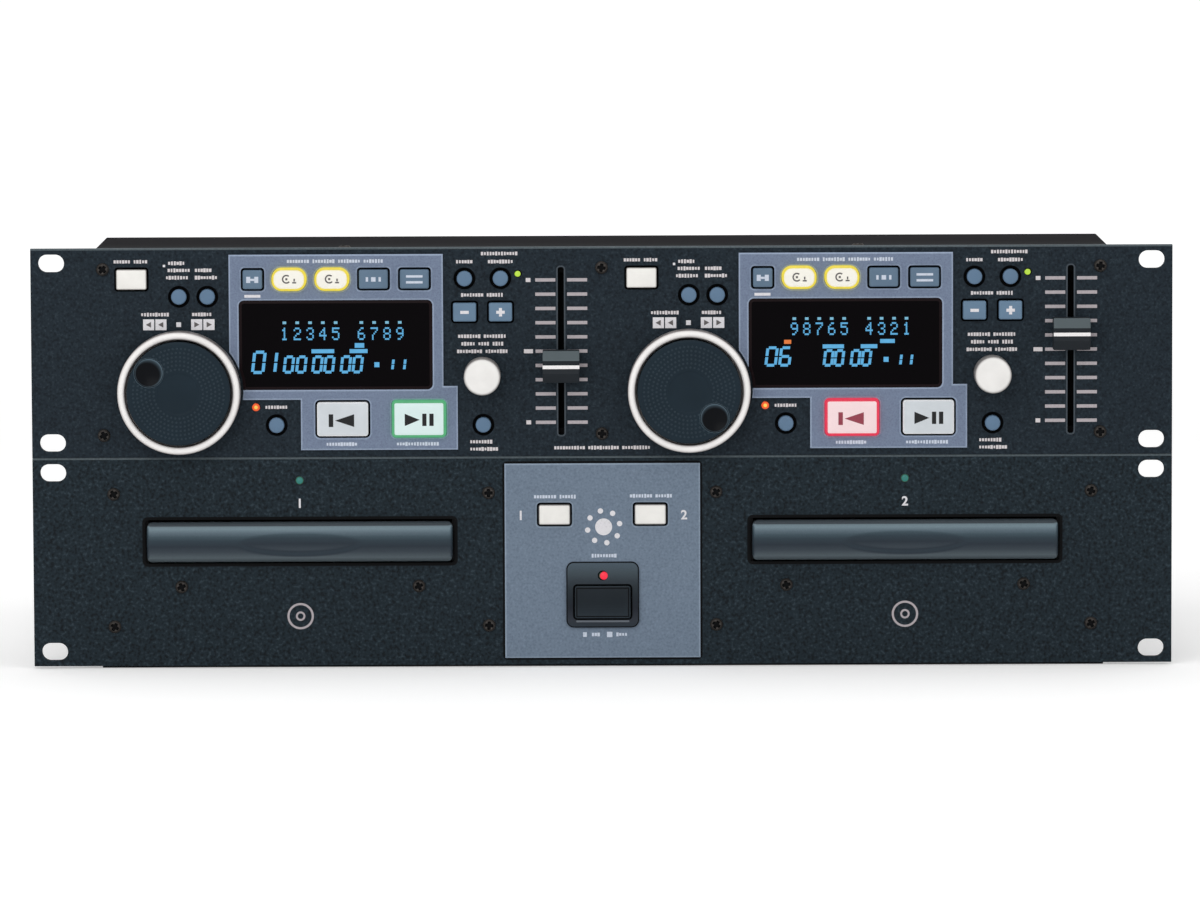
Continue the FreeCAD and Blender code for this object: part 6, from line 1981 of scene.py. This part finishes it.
@dataclass(frozen=True)
class CrossScrew:
    """A cross-recess screw with a domed head."""

    head_r: float = 2.7
    head_high: float = 1.5
    shank_r: float = 1.5
    length: float = 6.4
    slot_long: float = 3.6
    slot_wide: float = 1.4
    slot_deep: float = 1.15
    head_profile: tuple[Point, ...] = ((1.0, 0.0), (1.0, 0.5), (0.93, 1.0), (0.75, 1.35))
    brow_shares: Point = (0.72, 0.66)
    brow_drop: float = 0.05

    def template(self) -> bpy.types.Object:
        """Return one screw at the origin with its head towards the front."""
        shape = Shape()
        rings = [(self.shank_r, -self.length), (self.shank_r, 0.0)]
        rings += [(self.head_r * share, ahead) for share, ahead in self.head_profile]
        levels = [(ring_outline(radius, SMALL_STEPS), ahead) for radius, ahead in rings]
        levels += [(self.blend(share), self.head_high - self.brow_drop) for share in self.brow_shares]
        levels += [(self.blend(0.0), self.head_high), (self.blend(0.0), self.head_high - self.slot_deep)]
        shape.loft(Vector((0, 0, 0)), levels, SCREW_DARK)
        data = bpy.data.meshes.new("cross_screw")
        bmesh.ops.recalc_face_normals(shape.mesh, faces=shape.mesh.faces)
        shape.mesh.to_mesh(data)
        shape.mesh.free()
        return bpy.data.objects.new("cross_screw", data)

    def blend(self, share: float) -> Outline:
        """Return the recess's cross, or a circle with as many points.

        Args:
            share: 0 for the cross, otherwise the circle's radius as a share of the head's.

        Returns:
            The outline.
        """
        if share:
            return ring_outline(self.head_r * share, SMALL_STEPS)
        long, half = self.slot_long / 2, self.slot_wide / 2
        between = (long + half) / 2
        quarter = [(long, 0.0), (long, half), (between, half), (half, half), (half, between), (half, long)]
        points = []
        for turn in range(4):
            cosine, sine = math.cos(math.pi / 2 * turn), math.sin(math.pi / 2 * turn)
            points += [(x * cosine - z * sine, x * sine + z * cosine) for x, z in quarter]
        return points


@dataclass(frozen=True)
class ScrewSet:
    """The screws of the object: places on both panels and in the top of the casing."""

    seed: int = 7
    control_x: tuple[float, ...] = (-210.8, 0.0, 210.8)
    control_z: tuple[float, ...] = (9.4, 79.8)
    outer_x: tuple[float, ...] = (-207.0, -48.2, 48.2, 207.0)
    outer_z: tuple[float, ...] = (16.8, 73.3)
    loader_x: tuple[float, ...] = (-178.5, -77.9, 77.9, 178.5)
    loader_z: float = 33.7
    top_x: float = 108.7
    top_back: float = 9.0
    top_head: float = 1.5
    # The floor discs are painted shadow in the screws' cross recesses.
    floor_below: float = 0.95
    floor_r: float = 1.95
    floor_thick: float = 0.2

    def front_points(self) -> list[Vector]:
        """Return the places of the screws on the two panels."""
        points = [CONTROL.at(x, z) for x in self.control_x for z in self.control_z]
        points += [DRIVE.at(x, z) for x in self.outer_x for z in self.outer_z]
        points += [DRIVE.at(x, self.loader_z) for x in self.loader_x]
        return points

    def tree(self, name: str, template: bpy.types.Object, upwards: bool) -> RepeatTree:
        """Return the tree that sets a screw at each point, each turned by chance.

        Args:
            name: The tree's name.
            template: The screw to repeat.
            upwards: Whether the heads look up and not forward.

        Returns:
            The tree.
        """
        tree = RepeatTree(name)
        info = tree.add("GeometryNodeObjectInfo")
        tree.link(tree.take("Screw", "NodeSocketObject", template), info.inputs["Object"])
        chance = tree.add("FunctionNodeRandomValue", data_type="FLOAT")
        chance.inputs[3].default_value = math.pi / 2
        tree.link(tree.take("Seed", "NodeSocketInt", self.seed), chance.inputs["Seed"])
        turn = tree.add("ShaderNodeCombineXYZ")
        turn.inputs["X"].default_value = -math.pi / 2 if upwards else 0.0
        tree.link(chance.outputs[1], turn.inputs["Z" if upwards else "Y"])
        tree.finish(info.outputs["Geometry"], Rotation=turn.outputs["Vector"])
        return tree

    def build(self) -> None:
        """Build all the screws in place of their node."""
        template = CrossScrew().template()
        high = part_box("panel_screws")[1]
        back, head = CONTROL.front + self.top_back * MM, high.z - self.top_head * MM
        top = [Vector((side * self.top_x * MM, back, head)) for side in (-1, 1)]
        front = self.front_points()
        for name, points, upwards in (("front_screws", front, False), ("top_screws", top, True)):
            tree = self.tree(f"{name}_tree", template, upwards)
            dress(name, tree.run(name, points, SCREW_DARK), CHASSIS, ("panel_screws",))
        # Deep black discs at the floor of each cross recess are painted shadow in the recesses.
        level = CrossScrew().head_high - self.floor_below
        floors = [point + Vector((0, -level * MM, 0)) for point in front]
        small_dots("front_screw_floors", floors, self.floor_r, self.floor_thick, BLACK_PLASTIC_AND_PAINTED_SHADOW, CHASSIS)
        bpy.data.objects.remove(template)


# --- casings and insides --------------------------------------------------------------------


def dressed_copy(node: str, name: str, base: Finish, regions: Sequence[Region], body: str) -> None:
    """Copy a node and give the faces in each region a finish of their own.

    Args:
        node: The node to copy.
        name: The new piece's name.
        base: The finish of all other faces.
        regions: The regions; the first that holds a face's middle counts.
        body: The body that it rides on.
    """
    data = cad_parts[node].data.copy()
    data.name = name
    paint_regions(data, base, regions)
    dress(name, data, body, (node,))


def edged_panel(node: str, paint: Finish, rise: float = 0.0) -> None:
    """Dress a front panel whose top edge has a narrow chamfer, lighter as a painted highlight.

    Args:
        node: The panel.
        paint: The finish of its face.
        rise: How far its top edge stands higher, in millimetres, to close the gap above it.
    """
    low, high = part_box(node)
    foot = high.z - CHAMFER_HIGH * MM
    mesh = node_mesh(node)
    cut_level(mesh, foot)
    for vert in mesh.verts:
        if vert.co.z > high.z - EDGE_REACH:
            vert.co.y += CHAMFER_DEEP * MM if vert.co.y < low.y + EDGE_REACH else 0.0
            vert.co.z += rise * MM
    data = closed_mesh(mesh, f"{node}_plate")
    # The chamfer above the foot takes the lighter paint as a painted highlight.
    paint_regions(data, paint, [Region((-FAR, -FAR, foot), (FAR, FAR, FAR), PANEL_EDGE_PAINTED_HIGHLIGHT)])
    dress(f"{node}_plate", data, CHASSIS, (node,))


@dataclass(frozen=True)
class Casings:
    """The casings, the boards and the loaders behind the panels; its sizes are in metres."""

    rear_wall: float = 0.1265
    rear_trim: float = 0.012
    jack_x: float = 0.11
    jack_half: float = 0.02
    supply_low: tuple[float, float, float] = (-0.09, -0.06, 0.0095)
    supply_high: tuple[float, float, float] = (0.09, 0.10, FAR)
    board_front: float = 0.0102
    board_back: float = 0.0118

    def build(self) -> None:
        """Dress everything behind the panels."""
        # The casings' paint carries a painted sheen and painted shade on their tops.
        for node in ("control_case", "drive_case", "drive_cover"):
            paint_node(node, CASING_PAINT_WITH_PAINTED_SHEEN)
        jacks = [Region((side * self.jack_x - self.jack_half, self.rear_wall, -FAR),
                        (side * self.jack_x + self.jack_half, FAR, FAR), JACK_GOLD) for side in (-1, 1)]
        rest = Region((-FAR, self.rear_wall - self.rear_trim, -FAR), (FAR, FAR, FAR), BLACK_PLASTIC_AND_PAINTED_SHADOW)
        supply = Region(self.supply_low, self.supply_high, PLATED_STEEL)
        dressed_copy("drive_board", "drive_electronics", BOARD_GREEN, [*jacks, rest, supply], CHASSIS)
        behind = Region((-FAR, CONTROL.front + self.board_back, -FAR), (FAR, FAR, FAR), BLACK_PLASTIC_AND_PAINTED_SHADOW)
        ahead = Region((-FAR, -FAR, -FAR), (FAR, CONTROL.front + self.board_front, FAR), BLACK_PLASTIC_AND_PAINTED_SHADOW)
        dressed_copy("control_board", "control_electronics", BOARD_GREEN, [behind, ahead], CHASSIS)
        paint_node("loader_frames", LOADER_BLACK)
        for number in (1, 2):
            paint_node(f"loading_gear_{number}", GEAR_CREAM)


# --- control unit and rack ears ----------------------------------------------------------------


@dataclass(frozen=True)
class ControlFace:
    """The control unit's front: its panel, raised plates, windows and two decks."""

    def build(self) -> None:
        """Build the face."""
        edged_panel("control_panel", CONTROL_PAINT)
        # The plates' lighter chamfers are a painted highlight.
        faced_copy("control_plates", "deck_plates", (PLATE_PAINT, PLATE_EDGE_PAINTED_HIGHLIGHT), PLATE_CHAMFER, CHASSIS)
        faced_copy("display_windows", "display_glass", (WINDOW_BLACK, WINDOW_EDGE), GLASS_CHAMFER, CHASSIS)
        for look in DECKS:
            Deck(look).build()
        Legends("control_foot_legend", (PrintedLine(0.0, 3.4, 40.8, 3),)).build()


# --- studio --------------------------------------------------------------------------------


@dataclass(frozen=True)
class SoftLight:
    """A soft square light: where it hangs, its side in metres and its power in watts."""

    name: str
    place: tuple[float, float, float]
    side: float
    power: float

    def hang(self, aim: Vector) -> None:
        """Hang the light so that it points at a place."""
        data = bpy.data.lights.new(self.name, "AREA")
        data.size = self.side
        data.energy = self.power
        hung = bpy.data.objects.new(self.name, data)
        hung.location = self.place
        hung.rotation_euler = (aim - Vector(self.place)).to_track_quat("-Z", "Y").to_euler()
        bpy.context.scene.collection.objects.link(hung)


@dataclass(frozen=True)
class Studio:
    """The pale floor, the soft lights, the world and the camera."""

    distance: float = 3.2
    elevation: float = 5.3
    lens_per_metre: float = 70.85
    roll: float = -0.23
    aim_left: float = 0.9
    aim_up: float = 2.53
    sensor: float = 36.0
    clip: float = 50.0
    light_aim: float = 0.09
    lights: tuple[SoftLight, ...] = (SoftLight("front_light", (-0.8, -2.1, 1.25), 1.6, 15.6),
                                     SoftLight("side_light", (1.8, -1.8, 0.9), 1.4, 4.0),
                                     SoftLight("top_light", (0.0, 0.2, 2.2), 1.8, 8.0))
    world_strength: float = 0.62
    floor_lift: float = 0.26
    floor_far_lift: float = 0.46
    floor_near: float = 1.0
    floor_far: float = 2.6
    floor_reach: float = 16.0

    def paper(self, name: str, base: Colour) -> bpy.types.Material:
        """Return a pale paper that shows as white where the object doesn't shade it.

        Args:
            name: The material's name.
            base: Its colour under light.

        Returns:
            The material.
        """
        shader = Shader(name)
        surface = shader.surface(Base_Color=base, Roughness=0.9, Specular_IOR_Level=0.1,
                                 Emission_Color=(1.0, 1.0, 1.0))
        shader.mottle(surface.inputs["Base Color"], 40.0, [(0.3, scaled(base, 0.99)), (0.7, base)])
        place = shader.add("ShaderNodeTexCoord")
        away = shader.add("ShaderNodeVectorMath", operation="LENGTH")
        shader.link(place.outputs["Object"], away.inputs[0])
        growing = shader.add("ShaderNodeMapRange")
        for socket, value in (("From Min", self.floor_near), ("From Max", self.floor_far),
                              ("To Min", self.floor_lift), ("To Max", self.floor_far_lift)):
            growing.inputs[socket].default_value = value
        shader.link(away.outputs["Value"], growing.inputs["Value"])
        lift = shader.add("ShaderNodeMath", operation="MULTIPLY")
        shader.link(growing.outputs["Result"], lift.inputs[1])
        shader.link(seen_directly(shader.tree), lift.inputs[0])
        shader.link(lift.outputs[0], surface.inputs["Emission Strength"])
        return shader.material

    def floor(self) -> None:
        """Lay the floor, which reaches as far as any camera sees."""
        reach = self.floor_reach
        data = bpy.data.meshes.new("studio_floor")
        corners = [(-reach, -reach, 0.0), (reach, -reach, 0.0), (reach, reach, 0.0), (-reach, reach, 0.0)]
        data.from_pydata(corners, [], [(0, 1, 2, 3)])
        data.materials.append(self.paper("studio_paper", srgb(248, 248, 248)))
        floor = bpy.data.objects.new("studio_floor", data)
        bpy.context.scene.collection.objects.link(floor)

    def world(self) -> None:
        """Fill the world with an even pale light that looks white itself."""
        world = bpy.data.worlds.new("studio_world")
        bpy.context.scene.world = world
        world.use_nodes = True
        tree = world.node_tree
        background = tree.nodes["Background"]
        background.inputs["Color"].default_value = (1.0, 1.0, 1.0, 1.0)
        strength = tree.nodes.new("ShaderNodeMath")
        strength.operation = "MULTIPLY_ADD"
        strength.inputs[1].default_value = 1.0 - self.world_strength
        strength.inputs[2].default_value = self.world_strength
        tree.links.new(seen_directly(tree), strength.inputs[0])
        tree.links.new(strength.outputs[0], background.inputs["Strength"])

    def camera(self) -> None:
        """Aim the camera at the middle of the two panels."""
        middle = (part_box("drive_panel")[0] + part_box("control_panel")[1]) / 2
        aim = Vector((-self.aim_left * MM, CONTROL.front, middle.z + self.aim_up * MM))
        rise = math.radians(self.elevation)
        place = aim + self.distance * Vector((0, -math.cos(rise), math.sin(rise)))
        data = bpy.data.cameras.new("camera")
        data.lens = self.lens_per_metre * self.distance
        data.sensor_width = self.sensor
        data.clip_end = self.clip
        camera = bpy.data.objects.new("camera", data)
        camera.location = place
        look = (aim - place).to_track_quat("-Z", "Y").to_matrix()
        camera.rotation_euler = (look @ Matrix.Rotation(math.radians(self.roll), 3, "Z")).to_euler()
        bpy.context.scene.collection.objects.link(camera)
        bpy.context.scene.camera = camera

    def build(self) -> None:
        """Set up the studio."""
        self.floor()
        self.world()
        for light in self.lights:
            light.hang(Vector((0, CONTROL.front, self.light_aim)))
        self.camera()
        bpy.context.scene.view_settings.view_transform = "Standard"


def main() -> None:
    """Build the player and its studio."""
    logging.basicConfig(level=logging.INFO, format="%(name)s: %(message)s")
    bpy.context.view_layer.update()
    ControlFace().build()
    DriveFace().build()
    ScrewSet().build()
    Casings().build()
    Studio().build()


if __name__ == "__main__":
    main()
